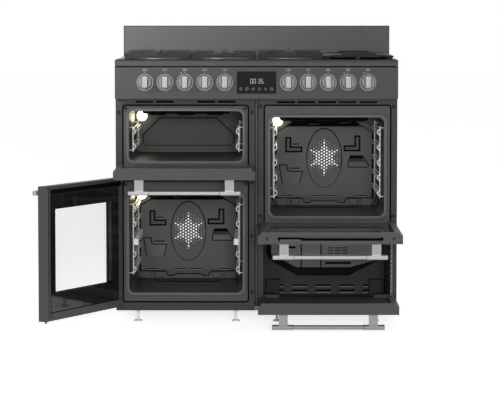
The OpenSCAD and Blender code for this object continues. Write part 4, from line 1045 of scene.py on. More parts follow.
@dataclass
class FrontDetails:
    """What shows on the front frames besides the sheet: painted shadow in the flange joints, in the
    air slots and round the screws, and dark lines at the hob and the splashback.

    Attributes:
        frame_y: The front of the frames.
        face_gap: The width of the groove round an oven flange's face.
        lap: How far the joint's lip laps over the frame.
        lip_t: The thickness of the joint's lip.
        groove: The clearance of the joint in its groove and the groove's depth.
        openings: The openings of the ovens.
        radius: The radius of the openings' corners.
        inner_radius: The radius of the flange face's corners.
        screws: The frame screws in X and Z.
        head: The depth of a screw's head.
        gap_ring: The inner and outer radius of the shadow gap round a screw.
        shade_t: The thickness of that gap's shadow and of the shadow under the hob.
        cross: Half the length of a screw's cross, its width and its thickness.
        vents: The middles of the air slots in X and Z, and whether light leaks up to them.
        vent_half: Half the length and height of a slot's back.
        vent_back: The front and back of a slot's back, from the frames' front.
        mouth: Half the length and height of the blackened mouth of a slot.
        mouth_radius: The radius of the mouth's ends.
        paint_t: The thickness of the black paint.
        shadow: The shadow between the hob and the panel.
        hob_shade: Half the length of the painted shade line along the hob's front, its front, its
            back and its height.
        rim: The width of the splashback's dark rim and its length at the sides.
        rim_t: The thickness of that rim.
    """

    frame_y: float = -300.0
    face_gap: float = 4.0
    lap: float = 1.6
    lip_t: float = 0.1
    groove: tuple[float, float] = (0.1, 2.9)
    openings: tuple[Rect, ...] = (
        (-475.5, 555.0, -27.5, 780.0),
        (-475.5, 76.0, -27.5, 511.0),
        (26.5, 350.0, 477.5, 780.0),
    )
    radius: float = 10.0
    inner_radius: float = 7.0
    screws: Outline = (
        (-489, 752.6), (-15.8, 752.6), (-15.4, 503.7), (-17, 313.7), (-16, 112.3), (13.6, 774),
        (486.7, 774), (13.9, 383.7), (486, 383.7), (-465, 768), (-39, 768), (-466, 497),
        (-39, 499),
    )
    head: float = 1.5
    gap_ring: tuple[float, float] = (3.3, 6.4)
    shade_t: float = 0.25
    cross: tuple[float, float, float] = (1.9, 0.9, 0.05)
    vents: tuple[tuple[float, float, bool], ...] = (
        (-397.8, 791, True), (-324.8, 791, False), (-178.3, 791, False), (-105.6, 791, False),
        (105, 789.5, False), (178, 789.5, False), (251, 789.5, False), (324, 789.5, True),
        (397, 789.5, True),
    )
    vent_half: Point = (34.5, 5.0)
    vent_back: tuple[float, float] = (3.4, 4.4)
    mouth: Point = (32.5, 3.8)
    mouth_radius: float = 3.7
    paint_t: float = 0.15
    shadow: Rect = (-499.0, 914.4, 499.0, 917.0)
    hob_shade: tuple[float, float, float, float] = (494.0, -336.5, -334.0, 2.6)
    rim: tuple[float, float] = (2.0, 130.0)
    rim_t: float = 0.1

    def joints(self) -> None:
        """Paints shadow into the grooves round the oven flanges, lapping a little over the frames.
        """
        shape = Shape("flange_gap_shadows")
        clearance, depth = self.groove
        for opening in self.openings:
            inner = rounded_outline(grown(opening, -self.face_gap), self.inner_radius)
            outer = rounded_outline(grown(opening, self.lap), self.radius + self.lap)
            shape.band(inner, outer, self.frame_y - self.lip_t, self.frame_y)
            edge = rounded_outline(grown(opening, -clearance), self.radius)
            shape.band(inner, edge, self.frame_y, self.frame_y + depth)
        shape.finish(PAINTED_GAP_SHADOW)

    def slot_backs(self) -> None:
        """Hangs a dark sheet of painted shade behind each air slot and paints its mouth the same,
        with a faint painted warm glow where lamp light leaks up to it.
        """
        dark, warm = Shape("vent_shade_sheet"), Shape("vent_glow_sheet")
        back = [self.frame_y + depth for depth in self.vent_back]
        for x, z, lit in self.vents:
            shape = warm if lit else dark
            shape.plate(corners(around((x, z), self.vent_half)), *back)
            mouth = rounded_outline(around((x, z), self.mouth), self.mouth_radius)
            shape.plate(mouth, self.frame_y - self.paint_t, self.frame_y)
        dark.finish(PAINTED_VENT_SHADE)
        warm.finish(VENT_PAINTED_GLOW)

    def screw_marks(self) -> None:
        """Paints shadow into the cross of each frame screw and rings the screw with its shadow gap.
        """
        shape = Shape("frame_screw_marks")
        front = self.frame_y - self.head
        half, width, thickness = self.cross
        for screw in self.screws:
            shape.ring(screw, self.gap_ring, self.frame_y - self.shade_t, self.frame_y, steps=24)
            for arm in ([(-half, 0), (half, 0)], [(0, -half), (0, half)]):
                shape.stroke(moved(arm, screw), width, front - thickness, front)
        shape.finish(SCREW_SHADE)

    def seams(self) -> None:
        """Draws the shadow under the hob, a line of painted shade along the hob's front and the
        splashback's dark rim.
        """
        shape = Shape("hob_and_splash_seams")
        panel_y = PanelMarks.panel_y
        shape.plate(corners(self.shadow), panel_y - self.shade_t, panel_y)
        half, front, back, height = self.hob_shade
        hob_z = node_box("hob_top")[1][2]
        # A raised line of painted shade along the hob's front
        shape.box((-half, front, hob_z), (half, back, hob_z + height))
        (x0, y0, _), (x1, _, z1) = node_box("splashback")
        width, length = self.rim
        sides = [(x, z1 - length, x + width, z1 - width) for x in (x0, x1 - width)]
        for rect in ((x0, z1 - width, x1, z1), *sides):
            shape.plate(corners(rect), y0 - self.rim_t, y0)
        shape.finish(SCREW_SHADE)

    def build(self) -> None:
        """Builds all of the front's details."""
        self.joints()
        self.slot_backs()
        self.screw_marks()
        self.seams()


# ---- Ovens ----


@dataclass
class MainOven:
    """The painted shade and painted light on one main oven's rear wall and floor. Places in X and Z
    start from the fan's axis.

    Attributes:
        name: The oven's name.
        fan: The fan's axis in X and Z.
        floor_y: The front of the sunk oval's floor.
        cover_y: The front of the fan cover.
        wall_y: The front of the rear wall beside the cover.
        fold_y: The front of the folds under the roof.
        band_y: The front of the shaded band under the roof.
        strip_y: The front of the stepped strip at the foot.
        line_t: The thickness of a drawn line.
        lip_t: The thickness of what lies on the cover.
        shade_t: The thickness of the shadows under the roof.
        oval: The half width and half height of the oval.
        oval_edge: The width of the oval's shadow at its foot and at its top.
        star: The star's reach upright, its reach sideways and its inner corners' reach.
        star_back: The front and the back of the star, from the oval's floor.
        ells: Each L's free end and corner in X, and its least and greatest Z.
        ell_arm: The width of an L's arms.
        ell_gap: How far the outlines of the painted shade in the gap round an L lie inside the L.
        pockets: The outlines of the sloped pockets, drawn in painted shade.
        pocket_line: The width of a pocket's outline.
        pocket_shades: The foot, the top and the lower right end of the two shadows in a pocket.
        pocket_x: The left and right ends of a pocket shadow's top and the left end of its foot.
        pocket_y: The front and back of a pocket's shadow, from the cover's front.
        roof_shade: The shadow over the cover: its foot, its top and half its width at both.
        band: The shaded band under the roof in the same terms.
        slots: The middle and the length of each slot.
        slot_z: The least and greatest Z of a slot's shadow and of its lit lip.
        slot_y: The front and back of a slot's shadow, from the cover's front.
        side_line: The shadow along one side of the cover.
        side_width: The width of that shadow.
        folds: One lit fold under the roof at one side.
        fold_drop: The drop from a fold's lit line to its shadow.
        fold_pitch: The distance between the folds.
        fold_width: The width of a fold's lines.
        top_line: The shadow over the cover's top edge.
        top_width: The width of that shadow.
        rise: The height of the fan's axis above the oven's floor.
        step: The right half of the stepped strip's edge, above the floor.
        step_lines: The width of the step's shadow, and of its light and the light's drop.
        cove: The right half of the painted shade line where wall and floor meet, above the floor.
        cove_width: The width of that line.
        cove_out: How far that line stands out from the strip.
        foot_box: One box of the strip, outlined in painted shade, above the floor.
        foot_box_line: The width of the box's outline and how far it stands out from the strip.
        foot_screw: One screw of the strip, above the floor.
        screw_radii: The inner and outer radius of the screw's shadow.
        screw_y: The front and the back of the screw's shadow, from the strip's front.
        emboss: The floor's emboss as half width, front and back, for its shadow and its light.
        emboss_z: The foot and the top of the emboss's marks above the floor.
    """

    name: str
    fan: Point
    floor_y: float = 152.0
    cover_y: float = 148.0
    wall_y: float = 157.0
    fold_y: float = 151.0
    band_y: float = 142.0
    strip_y: float = 131.0
    line_t: float = 0.15
    lip_t: float = 0.1
    shade_t: float = 0.3
    oval: Point = (67.0, 112.0)
    oval_edge: tuple[float, float] = (1.8, 4.2)
    star: tuple[float, float, float] = (69.0, 60.0, 29.0)
    star_back: tuple[float, float] = (1.9, 2.4)
    ells: tuple[tuple[float, float, float, float], ...] = (
        (-83.0, -145.0, 21.0, 77.0), (73.0, 134.0, 25.0, 83.0),
    )
    ell_arm: float = 21.0
    ell_gap: tuple[float, float] = (5.0, -1.0)
    pockets: tuple[Outline, ...] = (
        ((-157, -94), (-168, -26), (-139, -26), (-139, -43), (-132, -50), (-81, -50), (-91, -94)),
        ((88, -29), (97, 8), (143, 8), (166, -27), (162, -35), (91, -35), (88, -29)),
    )
    pocket_line: float = 3.4
    pocket_shades: tuple[tuple[float, float, float], ...] = ((-14, -2, 155), (-2, 6, 147))
    pocket_x: tuple[float, float, float] = (97.0, 142.0, 94.0)
    pocket_y: tuple[float, float] = (1.0, 1.9)
    roof_shade: tuple[float, float, float, float] = (118.0, 141.0, 136.0, 112.0)
    band: tuple[float, float, float, float] = (144.0, 157.0, 150.0, 158.0)
    slots: tuple[tuple[float, float, float], ...] = (
        (-106, 51, 26), (-110, -39, 43), (-137, -142, 46), (-28, -142, 46), (28, -142, 46),
        (137, -142, 46),
    )
    slot_z: tuple[float, float, float, float] = (-2.4, 2.4, -4.4, -2.8)
    slot_y: tuple[float, float] = (1.6, 2.0)
    side_line: Outline = ((181, -150), (181, 84), (139, 110))
    side_width: float = 7.0
    folds: Outline = ((112, 141), (184, 99))
    fold_drop: float = 3.4
    fold_pitch: float = 7.0
    fold_width: float = 2.6
    top_line: Outline = ((-139, 116), (139, 116))
    top_width: float = 8.0
    rise: float = 179.0
    step: Outline = ((176, 30), (86, 30), (74, 12), (56, 12), (46, 19))
    step_lines: tuple[float, float, float] = (3.4, 1.6, 3.0)
    cove: Outline = ((178, 2), (190, 16), (196, 46))
    cove_width: float = 3.0
    cove_out: float = 0.2
    foot_box: Rect = (91.0, 8.0, 139.0, 27.0)
    foot_box_line: tuple[float, float] = (1.6, 3.0)
    foot_screw: Point = (126.0, 18.0)
    screw_radii: tuple[float, float] = (2.2, 4.4)
    screw_y: tuple[float, float] = (-4.7, -4.5)
    emboss: tuple[tuple[float, float, float], ...] = ((121.0, 30.0, 62.0), (117.0, -8.0, 30.0))
    emboss_z: tuple[float, float] = (0.05, 0.35)

    def lit_star(self) -> None:
        """Puts bright steel with a painted glow behind the holes that form the star."""
        shape = Shape(f"{self.name}_star")
        upright, sideways, inner = self.star
        outline = []
        for at in range(12):
            reach = inner if at % 2 else (upright if at % 6 == 0 else sideways)
            angle = math.radians(90 + 30 * at)
            outline.append((reach * math.cos(angle), reach * math.sin(angle)))
        shape.plate(moved(outline, self.fan), *(self.floor_y + y for y in self.star_back))
        shape.finish(LIT_STEEL)

    def oval_crease(self) -> None:
        """Draws the shadow in the oval's pressed edge, wide at the top and thin at the foot."""
        shape = Shape(f"{self.name}_oval_crease")
        foot, top = self.oval_edge
        rim = circle((0, 0), 1, 72)
        inner, outer = [], []
        for x, z in rim:
            width = foot + (top - foot) * (1 + z) / 2
            outer.append((self.oval[0] * x, self.oval[1] * z))
            inner.append(((self.oval[0] - width) * x, (self.oval[1] - width) * z))
        shape.band(moved(inner, self.fan), moved(outer, self.fan),
                   self.cover_y - self.line_t, self.cover_y)
        shape.finish(CREASE)

    def path(self, shape: Shape, points: Outline, width: float, y: float) -> None:
        """Adds a line along a path about the fan's axis.

        Args:
            shape: The mesh that gets it.
            points: The path in X and Z from the fan's axis.
            width: The line's width.
            y: The face that it lies on.
        """
        shape.stroke(moved(points, self.fan), width, y - self.line_t, y)

    def ell(self, ends: Sequence[float], inset: float) -> list[Point]:
        """Gives the outline of an L-shaped pressing, moved in.

        Args:
            ends: The X of the L's free end and of its corner, its least and greatest Z.
            inset: How far the outline is moved in.

        Returns:
            The corners.
        """
        free, corner, low, high = ends
        sign = 1 if corner > free else -1
        x0, x1, z0, z1 = free + sign * inset, corner - sign * inset, low + inset, high - inset
        arm, bar = corner - sign * (self.ell_arm - inset), low + self.ell_arm - inset
        return moved([(x0, z0), (x1, z0), (x1, z1), (arm, z1), (arm, bar), (x0, bar)], self.fan)

    def pressings(self) -> None:
        """Paints the shadows of the pressings, the pockets, the slots and the cover's outline, and
        the light on the slots' lips and the folds.
        """
        shape, lit = Shape(f"{self.name}_creases"), Shape(f"{self.name}_lit_edges")
        deep = Shape(f"{self.name}_pocket_shade")
        for ends in self.ells:
            inner, outer = (self.ell(ends, inset) for inset in self.ell_gap)
            shape.band(inner, outer, self.cover_y - self.lip_t, self.cover_y)
        for pocket in self.pockets:
            self.path(shape, pocket, self.pocket_line, self.cover_y)
        left, right, foot = self.pocket_x
        for target, (low, high, end) in zip((deep, shape), self.pocket_shades):
            outline = [(foot, low), (left, high), (right, high), (end, low)]
            target.plate(moved(outline, self.fan), *(self.cover_y + y for y in self.pocket_y))
        deep.finish(RING_SHADE)
        for (low, high, foot, top), y in ((self.roof_shade, self.wall_y), (self.band, self.band_y)):
            outline = [(-foot, low), (foot, low), (top, high), (-top, high)]
            shape.plate(moved(outline, self.fan), y - self.shade_t, y)
        low, high, lip_low, lip_high = self.slot_z
        for x, z, length in self.slots:
            middle = (self.fan[0] + x, self.fan[1] + z)
            for target, z0, z1, front, back in (
                (shape, low, high, *self.slot_y), (lit, lip_low, lip_high, -self.lip_t, 0.0)
            ):
                rect = moved(corners((-length / 2, z0, length / 2, z1)), middle)
                target.plate(rect, self.cover_y + front, self.cover_y + back)
        for side in (-1, 1):
            self.path(shape, mirrored(self.side_line, side), self.side_width, self.wall_y)
            for rise in (0.0, self.fold_pitch):
                for target, z in ((lit, rise), (shape, rise - self.fold_drop)):
                    fold = moved(mirrored(self.folds, side), (0.0, z))
                    self.path(target, fold, self.fold_width, self.fold_y)
        self.path(shape, self.top_line, self.top_width, self.wall_y)
        lit.finish(LIT_ENAMEL)
        shape.finish(CREASE)

    def foot_lines(self) -> None:
        """Paints shadow and light along the stepped strip's edges, its boxes and screws and the
        floor's emboss.
        """
        shape, lit = Shape(f"{self.name}_foot_lines"), Shape(f"{self.name}_foot_lights")
        to_floor = (0.0, -self.rise)
        edge = moved([*mirrored(self.step, -1), *self.step[::-1]], to_floor)
        shadow_width, light_width, drop = self.step_lines
        self.path(shape, edge, shadow_width, self.strip_y)
        self.path(lit, moved(edge, (0.0, -drop)), light_width, self.strip_y)
        cove = moved([*mirrored(self.cove[::-1], -1), *self.cove], to_floor)
        self.path(shape, cove, self.cove_width, self.strip_y - self.cove_out)
        width, out = self.foot_box_line
        for side in (-1, 1):
            box = moved(mirrored(closed(corners(self.foot_box)), side), to_floor)
            self.path(shape, box, width, self.strip_y - out)
            screw = moved(mirrored([self.foot_screw], side), to_floor)
            shape.ring(moved(screw, self.fan)[0], self.screw_radii,
                       *(self.strip_y + y for y in self.screw_y), steps=16)
        x, floor_z = self.fan[0], self.fan[1] - self.rise
        low, high = (floor_z + z for z in self.emboss_z)
        for target, (half, front, back) in zip((shape, lit), self.emboss):
            target.box((x - half, front, low), (x + half, back, high))
        shape.finish(CREASE)
        lit.finish(FLOOR_PAINTED_LIGHT)

    def build(self) -> None:
        """Builds the rear wall's details."""
        self.lit_star()
        self.oval_crease()
        self.pressings()
        self.foot_lines()


@dataclass
class RackHooks:
    """The hooks of the wire racks that carry a shelf's side, one at each level.

    Attributes:
        ovens: The middle of each oven, the height of its lowest hook and its levels.
        half: Half the width of an oven.
        off: The distance of a rack from its wall.
        pitch: The distance between two levels.
        reach: How far a hook stands in from its rack.
        wire: The wire's thickness.
        depth: The front and the back of a hook's runner.
        hook: The heights of a hook's corners above its lower runner, from the top.
        runners: The heights of the two runners above the lower one.
    """

    ovens: tuple[tuple[float, float, tuple[int, ...]], ...] = (
        (-251.0, 625.5, (0, 1)),
        (-251.0, 186.0, (0, 1, 3, 4)),
        (252.0, 460.0, (0, 1, 2, 3, 4)),
    )
    half: float = 202.0
    off: float = 13.0
    pitch: float = 54.0
    reach: float = 9.0
    wire: float = 3.0
    depth: tuple[float, float] = (-277.0, 128.0)
    hook: tuple[float, float, float, float] = (17.0, 10.0, 0.0, -7.0)
    runners: tuple[float, float] = (10.0, 0.0)

    def build(self) -> None:
        """Builds the hooks and their runners."""
        shape = Shape("rack_hooks")
        half_wire = (self.wire / 2, self.wire / 2)
        front, back = self.depth
        for middle, lowest, levels in self.ovens:
            for side in (-1, 1):
                x = middle + side * (self.half - self.off)
                tip = x - side * self.reach
                for level in levels:
                    z = lowest + self.pitch * level
                    hook = [(at, z + rise) for at, rise in zip((x, tip, tip, x), self.hook)]
                    shape.stroke(hook, self.wire, front - self.wire / 2, front + self.wire / 2)
                    for rise in self.runners:
                        shape.plate(corners(around((tip, z + rise), half_wire)), front, back)
        # The wire's finish carries a painted glow standing in for the oven lamp's light
        shape.finish(GLOWING_CHROME_WIRE)


@dataclass
class UpperOven:
    """The painted shade on the upper oven's rear wall and floor.

    Attributes:
        wall_y: The rear wall's front.
        emboss: The corners of the eight-sided emboss.
        foot_z: The height below which the emboss's edge catches the lamp.
        emboss_lines: The width of the emboss's edge below that height and above it.
        line_t: The thickness of the edge.
        corner: The rear wall's lower edge with its rounded corners.
        corner_line: The width and thickness of that edge.
        floor_mark: The painted shade on the floor's emboss as least and greatest X, Y and Z.
        roof_shade: The corners of the shadow under the roof.
        roof_y: The front and the back of that shadow.
    """

    wall_y: float = 157.0
    emboss: Outline = (
        (-361, 713), (-148.5, 713), (-84, 650), (-84, 622), (-96, 610), (-412, 610), (-424, 622),
        (-424, 650), (-361, 713),
    )
    foot_z: float = 640.0
    emboss_lines: tuple[float, float] = (2.2, 3.8)
    line_t: float = 0.15
    corner: Outline = (
        (-451, 640), (-451, 600), (-446, 589), (-436, 583), (-66, 583), (-56, 589), (-51, 600),
        (-51, 640),
    )
    corner_line: tuple[float, float] = (3.6, 0.2)
    floor_mark: tuple[tuple[float, float, float], tuple[float, float, float]] = (
        (-372.0, 40.0, 580.55), (-130.0, 70.0, 580.85),
    )
    roof_shade: Outline = ((-421, 729), (-103, 729), (-97, 741), (-427, 741))
    roof_y: tuple[float, float] = (140.8, 142.2)

    def build(self) -> None:
        """Builds the painted shade."""
        shape = Shape("upper_left_creases")
        for start, end in zip(self.emboss, self.emboss[1:]):
            width = self.emboss_lines[0 if max(start[1], end[1]) < self.foot_z else 1]
            shape.stroke([start, end], width, self.wall_y - self.line_t, self.wall_y)
        width, thickness = self.corner_line
        shape.stroke(self.corner, width, self.wall_y - thickness, self.wall_y)
        shape.box(*self.floor_mark)
        shape.plate(self.roof_shade, *self.roof_y)
        shape.finish(CREASE)


# ---- Doors ----


@dataclass
class SwingDoor:
    """The lower-left door's details, drawn on the closed door and then swung open.

    Attributes:
        axis: The hinge axis in X and Y.
        swing: The door's opening angle in degrees.
        pane: The inner pane, seen on the closed door.
        window: The clear window in the same terms.
        pane_y: The inner face of the inner pane on the closed door.
        pane_t: The inner pane's thickness.
        frit_t: The print's thickness on the glass.
        frit_gap: The gap between the glass and the print on its inner face.
        rim_y: The inner face of the door's rim on the closed door.
        painted: The rim's black parts.
        paint_t: The paint's thickness.
    """

    axis: tuple[float, float] = (-492.0, -323.0)
    swing: float = 118.0
    pane: Rect = (-479.7, 90.8, -23.3, 494.2)
    window: Rect = (-437.0, 155.5, -66.0, 442.5)
    pane_y: float = -313.0
    pane_t: float = 5.0
    frit_t: float = 0.3
    frit_gap: float = 0.02
    rim_y: float = -303.0
    painted: tuple[Rect, ...] = (
        (-480.0, 495.0, -24.0, 512.0), (-23.2, 74.0, -19.8, 512.0), (-8.6, 74.0, -5.8, 512.0),
    )
    paint_t: float = 0.15

    def frit(self) -> None:
        """Prints the black border round the window on both faces of the inner pane."""
        shape = Shape("lower_left_frit")
        outer_face = self.pane_y - self.pane_t
        for depth in (
            (self.pane_y + self.frit_gap, self.pane_y + self.frit_t),
            (outer_face - self.frit_t, outer_face),
        ):
            shape.band(corners(self.window), corners(self.pane), *depth)
        shape.turn(self.axis, -self.swing)
        shape.finish(BLACK_GLASS, Body.LOWER_LEFT_DOOR)

    def rim_paint(self) -> None:
        """Blackens the rim's upper side and paints shade along the folds of its free side."""
        shape = Shape("lower_left_rim_paint")
        for rect in self.painted:
            shape.plate(corners(rect), self.rim_y, self.rim_y + self.paint_t)
        shape.turn(self.axis, -self.swing)
        shape.finish(SCREW_SHADE, Body.LOWER_LEFT_DOOR)

    def build(self) -> None:
        """Builds the door's details."""
        self.frit()
        self.rim_paint()


@dataclass
class DropDetails:
    """What shows on the open drop-down doors: sleeve seams and rings round screws in painted shade,
    bracket faces, and a slot's lips in painted light.

    Attributes:
        handles: Each handle's node and the body that it rides on.
        sleeve_radius: The radius of a handle's sleeves.
        seams: The distance from the handle's end, and the width, of a sleeve's two seams.
        seam_t: How far a seam stands proud of its sleeve.
        pitch: The distance between a handle's brackets.
        bracket: The width and thickness of a bracket.
        face_inset: How far a bracket's face lies in from its sides.
        face_t: The thickness of a bracket's face.
        face_z: The foot of the face above the bar's axis and its drop below the handle's top.
        screws: The screws in the right door's free edge in X and Z.
        screw_radii: The inner and outer radius of a screw's shadow.
        screw_t: The thickness of that shadow.
        lips: The folds inside that edge's slot, painted pale where they catch the light.
        lip_y: The front and the back of the folds, from the edge.
    """

    handles: dict[str, Body] = field(
        default_factory=lambda: {
            "upper_left_handle": Body.UPPER_LEFT_DOOR,
            "right_handle": Body.RIGHT_DOOR,
            "storage_handle": Body.STORAGE_FLAP,
        }
    )
    sleeve_radius: float = 9.0
    seams: tuple[tuple[float, float], ...] = ((73.0, 1.6), (1.2, 1.2))
    seam_t: float = 0.12
    pitch: float = 313.0
    bracket: tuple[float, float] = (31.0, 15.0)
    face_inset: float = 0.3
    face_t: float = 0.12
    face_z: tuple[float, float] = (9.2, 0.2)
    screws: Outline = ((36.0, 348.0), (464.0, 348.0))
    screw_radii: tuple[float, float] = (2.6, 5.0)
    screw_t: float = 0.05
    lips: tuple[Rect, ...] = (
        (80.0, 338.0, 150.0, 345.0), (150.0, 338.0, 424.0, 340.5), (156.0, 350.0, 420.0, 352.0),
    )
    lip_y: tuple[float, float] = (4.0, 6.0)

    def collar(self, shape: Shape, x: float, bar: tuple[float, float], width: float) -> None:
        """Adds a thin collar round a bar along X.

        Args:
            shape: The mesh that gets it.
            x: Its middle.
            bar: The bar's axis in Y and Z.
            width: Its width.
        """
        rim = circle(bar, self.sleeve_radius + self.seam_t, 24)
        ends = [[(side, y, z) for y, z in rim] for side in (x - width / 2, x + width / 2)]
        shape.prism(*ends)

    def handle(self, name: str, body: Body) -> None:
        """Draws the seams of one handle's sleeves as rings of painted shade, and the faces of its
        brackets.

        Args:
            name: The handle's node.
            body: The body that it rides on.
        """
        (x0, y0, z0), (x1, y1, z1) = node_box(name)
        middle, y, z = (x0 + x1) / 2, (y0 + y1) / 2, z0 + self.sleeve_radius
        seams, faces = Shape(f"{name}_seams"), Shape(f"{name}_bracket_faces")
        half, front = self.bracket[0] / 2 - self.face_inset, y - self.bracket[1] / 2
        for side, end in ((-1, x0), (1, x1)):
            for off, width in self.seams:
                self.collar(seams, end - side * off, (y, z), width)
            at = middle + side * self.pitch / 2
            rect = (at - half, z + self.face_z[0], at + half, z1 - self.face_z[1])
            faces.plate(corners(rect), front - self.face_t, front)
        seams.finish(RING_SHADE, body)
        faces.finish(BRACKET_ALUMINIUM, body)

    def build(self) -> None:
        """Builds the details of all three doors."""
        for name, body in self.handles.items():
            self.handle(name, body)
        front = node_box("right_door")[0][1]
        marks, lips = Shape("right_door_screws"), Shape("right_door_slot_lips")
        for screw in self.screws:
            marks.ring(screw, self.screw_radii, front - self.screw_t, front, steps=20)
        for rect in self.lips:
            lips.plate(corners(rect), *(front + y for y in self.lip_y))
        marks.finish(SCREW_SHADE, Body.RIGHT_DOOR)
        lips.finish(FLOOR_PAINTED_LIGHT, Body.RIGHT_DOOR)


# ---- Storage ----


@dataclass
class StorageDetails:
    """The storage space's painted light and shade: the baffle's bright panels, its dark seams and
    the dark sheet behind it, the louvres, the corner housings and the perforated strip.

    Attributes:
        baffle_y: The baffle's front.
        edge: The baffle's lower edge and sides in X and Z.
        seams: The middle of each seam.
        top: The top of the panels.
        split: The height below which the panels lie in shadow.
        width: The seams' width.
        panel_t: The thickness of the panels and, less than that, of the seams.
        seam_rise: How far a seam starts above the baffle's edge.
        slots: The baffle's slots as middle X and Z, length and height.
        shade_y: The front and the back of the sheet of painted shade behind the baffle.
        shade_foot: The foot of that sheet.
        shade_x: The least and greatest X of the sheet's three lengths, between the side folds.
        rear_y: The front of the storage space's rear wall.
        louvres: The middles of the rear louvres in X and in Z.
        mouth: Half the length and height of a louvre's mouth, and the radius of its ends.
        mouth_out: How far a mouth stands out from the wall.
        lip: Half the length of a louvre's lip, and its least and greatest Z from the middle.
        lip_out: How far a lip stands out from the wall.
        side_strip: The perforated strip beside the storage space.
        strip_y: The back of the strip.
        strip_t: The thickness of the strip, and of its holes on it.
        hole_pitch: The distance between the strip's holes.
        hole: The inner and outer radius of a hole filled with painted shade.
        corners_x: The least and greatest X of each corner housing.
        housing: The front, back, foot and top of a housing.
        lid: The front and the top of its lid.
        housing_bevel: The width of the cut at their upright edges.
    """

    baffle_y: float = 230.0
    edge: Outline = ((56, 195), (150, 145), (353, 145), (458, 174), (470, 190))
    seams: tuple[float, ...] = (169.0, 244.0)
    top: float = 318.0
    split: float = 190.0
    width: float = 5.0
    panel_t: tuple[float, float] = (0.4, 0.3)
    seam_rise: float = 1.0
    slots: tuple[tuple[float, float, float, float], ...] = (
        (308, 161, 98, 9), (115, 220, 66, 8),
        *((280 + 27 * i, 198 + 10 * k, 20, 4) for i in range(3) for k in range(3)),
    )
    shade_y: tuple[float, float] = (240.0, 240.8)
    shade_foot: float = 112.0
    shade_x: tuple[tuple[float, float], ...] = ((38, 55.4), (58.6, 467.4), (470.6, 475))
    rear_y: float = 152.0
    louvres: tuple[tuple[float, ...], tuple[float, ...]] = (
        (74.0, 162.0, 250.0, 338.0, 426.0), (85.5, 64.0),
    )
    mouth: tuple[float, float, float] = (29.0, 2.6, 2.4)
    mouth_out: float = 4.4
    lip: tuple[float, float, float] = (27.0, -6.4, -3.4)
    lip_out: float = 4.6
    side_strip: Rect = (478.0, 62.0, 484.5, 318.0)
    strip_y: float = -300.0
    strip_t: float = 0.1
    hole_pitch: float = 18.0
    hole: tuple[float, float] = (0.05, 2.2)
    corners_x: tuple[tuple[float, float], ...] = ((36.0, 88.0), (420.0, 470.0))
    housing: tuple[float, float, float, float] = (100.0, 147.0, 31.0, 108.0)
    lid: tuple[float, float] = (98.0, 111.0)
    housing_bevel: float = 3.0

    def edge_z(self, x: float) -> float:
        """Gives the height of the baffle's lower edge.

        Args:
            x: The place along the edge.

        Returns:
            The height.
        """
        for (x0, z0), (x1, z1) in zip(self.edge, self.edge[1:]):
            if x0 <= x <= x1:
                return z0 + (z1 - z0) * (x - x0) / (x1 - x0)
        return self.edge[-1][1]

    def panels(self) -> None:
        """Lays a sheet painted bright, for the light on the baffle, on each of its three panels,
        open over its slots.
        """
        shape, foot = Shape("baffle_panels"), Shape("baffle_panel_feet")
        half = self.width / 2
        stops = [self.edge[0][0], *(x + s * half for x in self.seams for s in (-1, 1)),
                 self.edge[-1][0]]
        turns = {x for x, _ in self.edge}
        turns |= {x + s * length / 2 for x, _, length, _ in self.slots for s in (-1, 1)}
        for start, end in zip(stops[::2], stops[1::2]):
            cuts = sorted({start, end} | {x for x in turns if start < x < end})
            for x0, x1 in zip(cuts, cuts[1:]):
                self.strip(shape, foot, x0, x1)
        shape.finish(BAFFLE_PAINTED_LIGHT)
        foot.finish(BAFFLE_SHADE)

    def strip(self, shape: Shape, foot: Shape, x0: float, x1: float) -> None:
        """Adds one upright strip of a panel with its slots left open.

        Args:
            shape: The mesh that gets its upper part.
            foot: The mesh that gets its lower part, which lies in shadow.
            x0: The strip's least X.
            x1: The strip's greatest X.
        """
        middle = (x0 + x1) / 2
        holes = sorted(
            (z - height / 2, z + height / 2)
            for x, z, length, height in self.slots if abs(middle - x) < length / 2
        )
        low = (self.edge_z(x0), self.edge_z(x1))
        for bottom, top in [*holes, (self.top, self.top)]:
            middle_z = min(max(self.split, *low), bottom)
            for target, start, end in ((foot, low, middle_z), (shape, (middle_z,) * 2, bottom)):
                if end - min(start) > 0.1:
                    target.plate([(x0, start[0]), (x1, start[1]), (x1, end), (x0, end)],
                                 self.baffle_y - self.panel_t[0], self.baffle_y)
            low = (top, top)

    def shade(self) -> None:
        """Hangs a dark sheet of painted shade that closes the view past the baffle."""
        shape = Shape("baffle_shade")
        for x0, x1 in self.shade_x:
            shape.plate(corners((x0, self.shade_foot, x1, self.top)), *self.shade_y)
        shape.finish(PAINTED_SHADE_SHEET)

    def seam_lines(self) -> None:
        """Paints shade into the seams between the baffle's panels."""
        shape = Shape("baffle_seams")
        half = self.width / 2
        for x in self.seams:
            shape.plate(corners((x - half, self.edge_z(x) + self.seam_rise, x + half, self.top)),
                        self.baffle_y - self.panel_t[1], self.baffle_y)
        shape.finish(PAINTED_VENT_SHADE)

    def louvre_lines(self) -> None:
        """Paints shade into the mouths of the rear louvres and a highlight on the lips that catch
        the light.
        """
        dark, lit = Shape("louvre_mouths"), Shape("louvre_lips")
        half, height, radius = self.mouth
        lip_half, lip_low, lip_high = self.lip
        for x in self.louvres[0]:
            for z in self.louvres[1]:
                mouth = rounded_outline(around((x, z), (half, height)), radius)
                dark.plate(mouth, self.rear_y - self.mouth_out, self.rear_y)
                lip = moved(corners((-lip_half, lip_low, lip_half, lip_high)), (x, z))
                lit.plate(lip, self.rear_y - self.lip_out, self.rear_y)
        dark.finish(PAINTED_VENT_SHADE)
        lit.finish(LIT_ENAMEL)

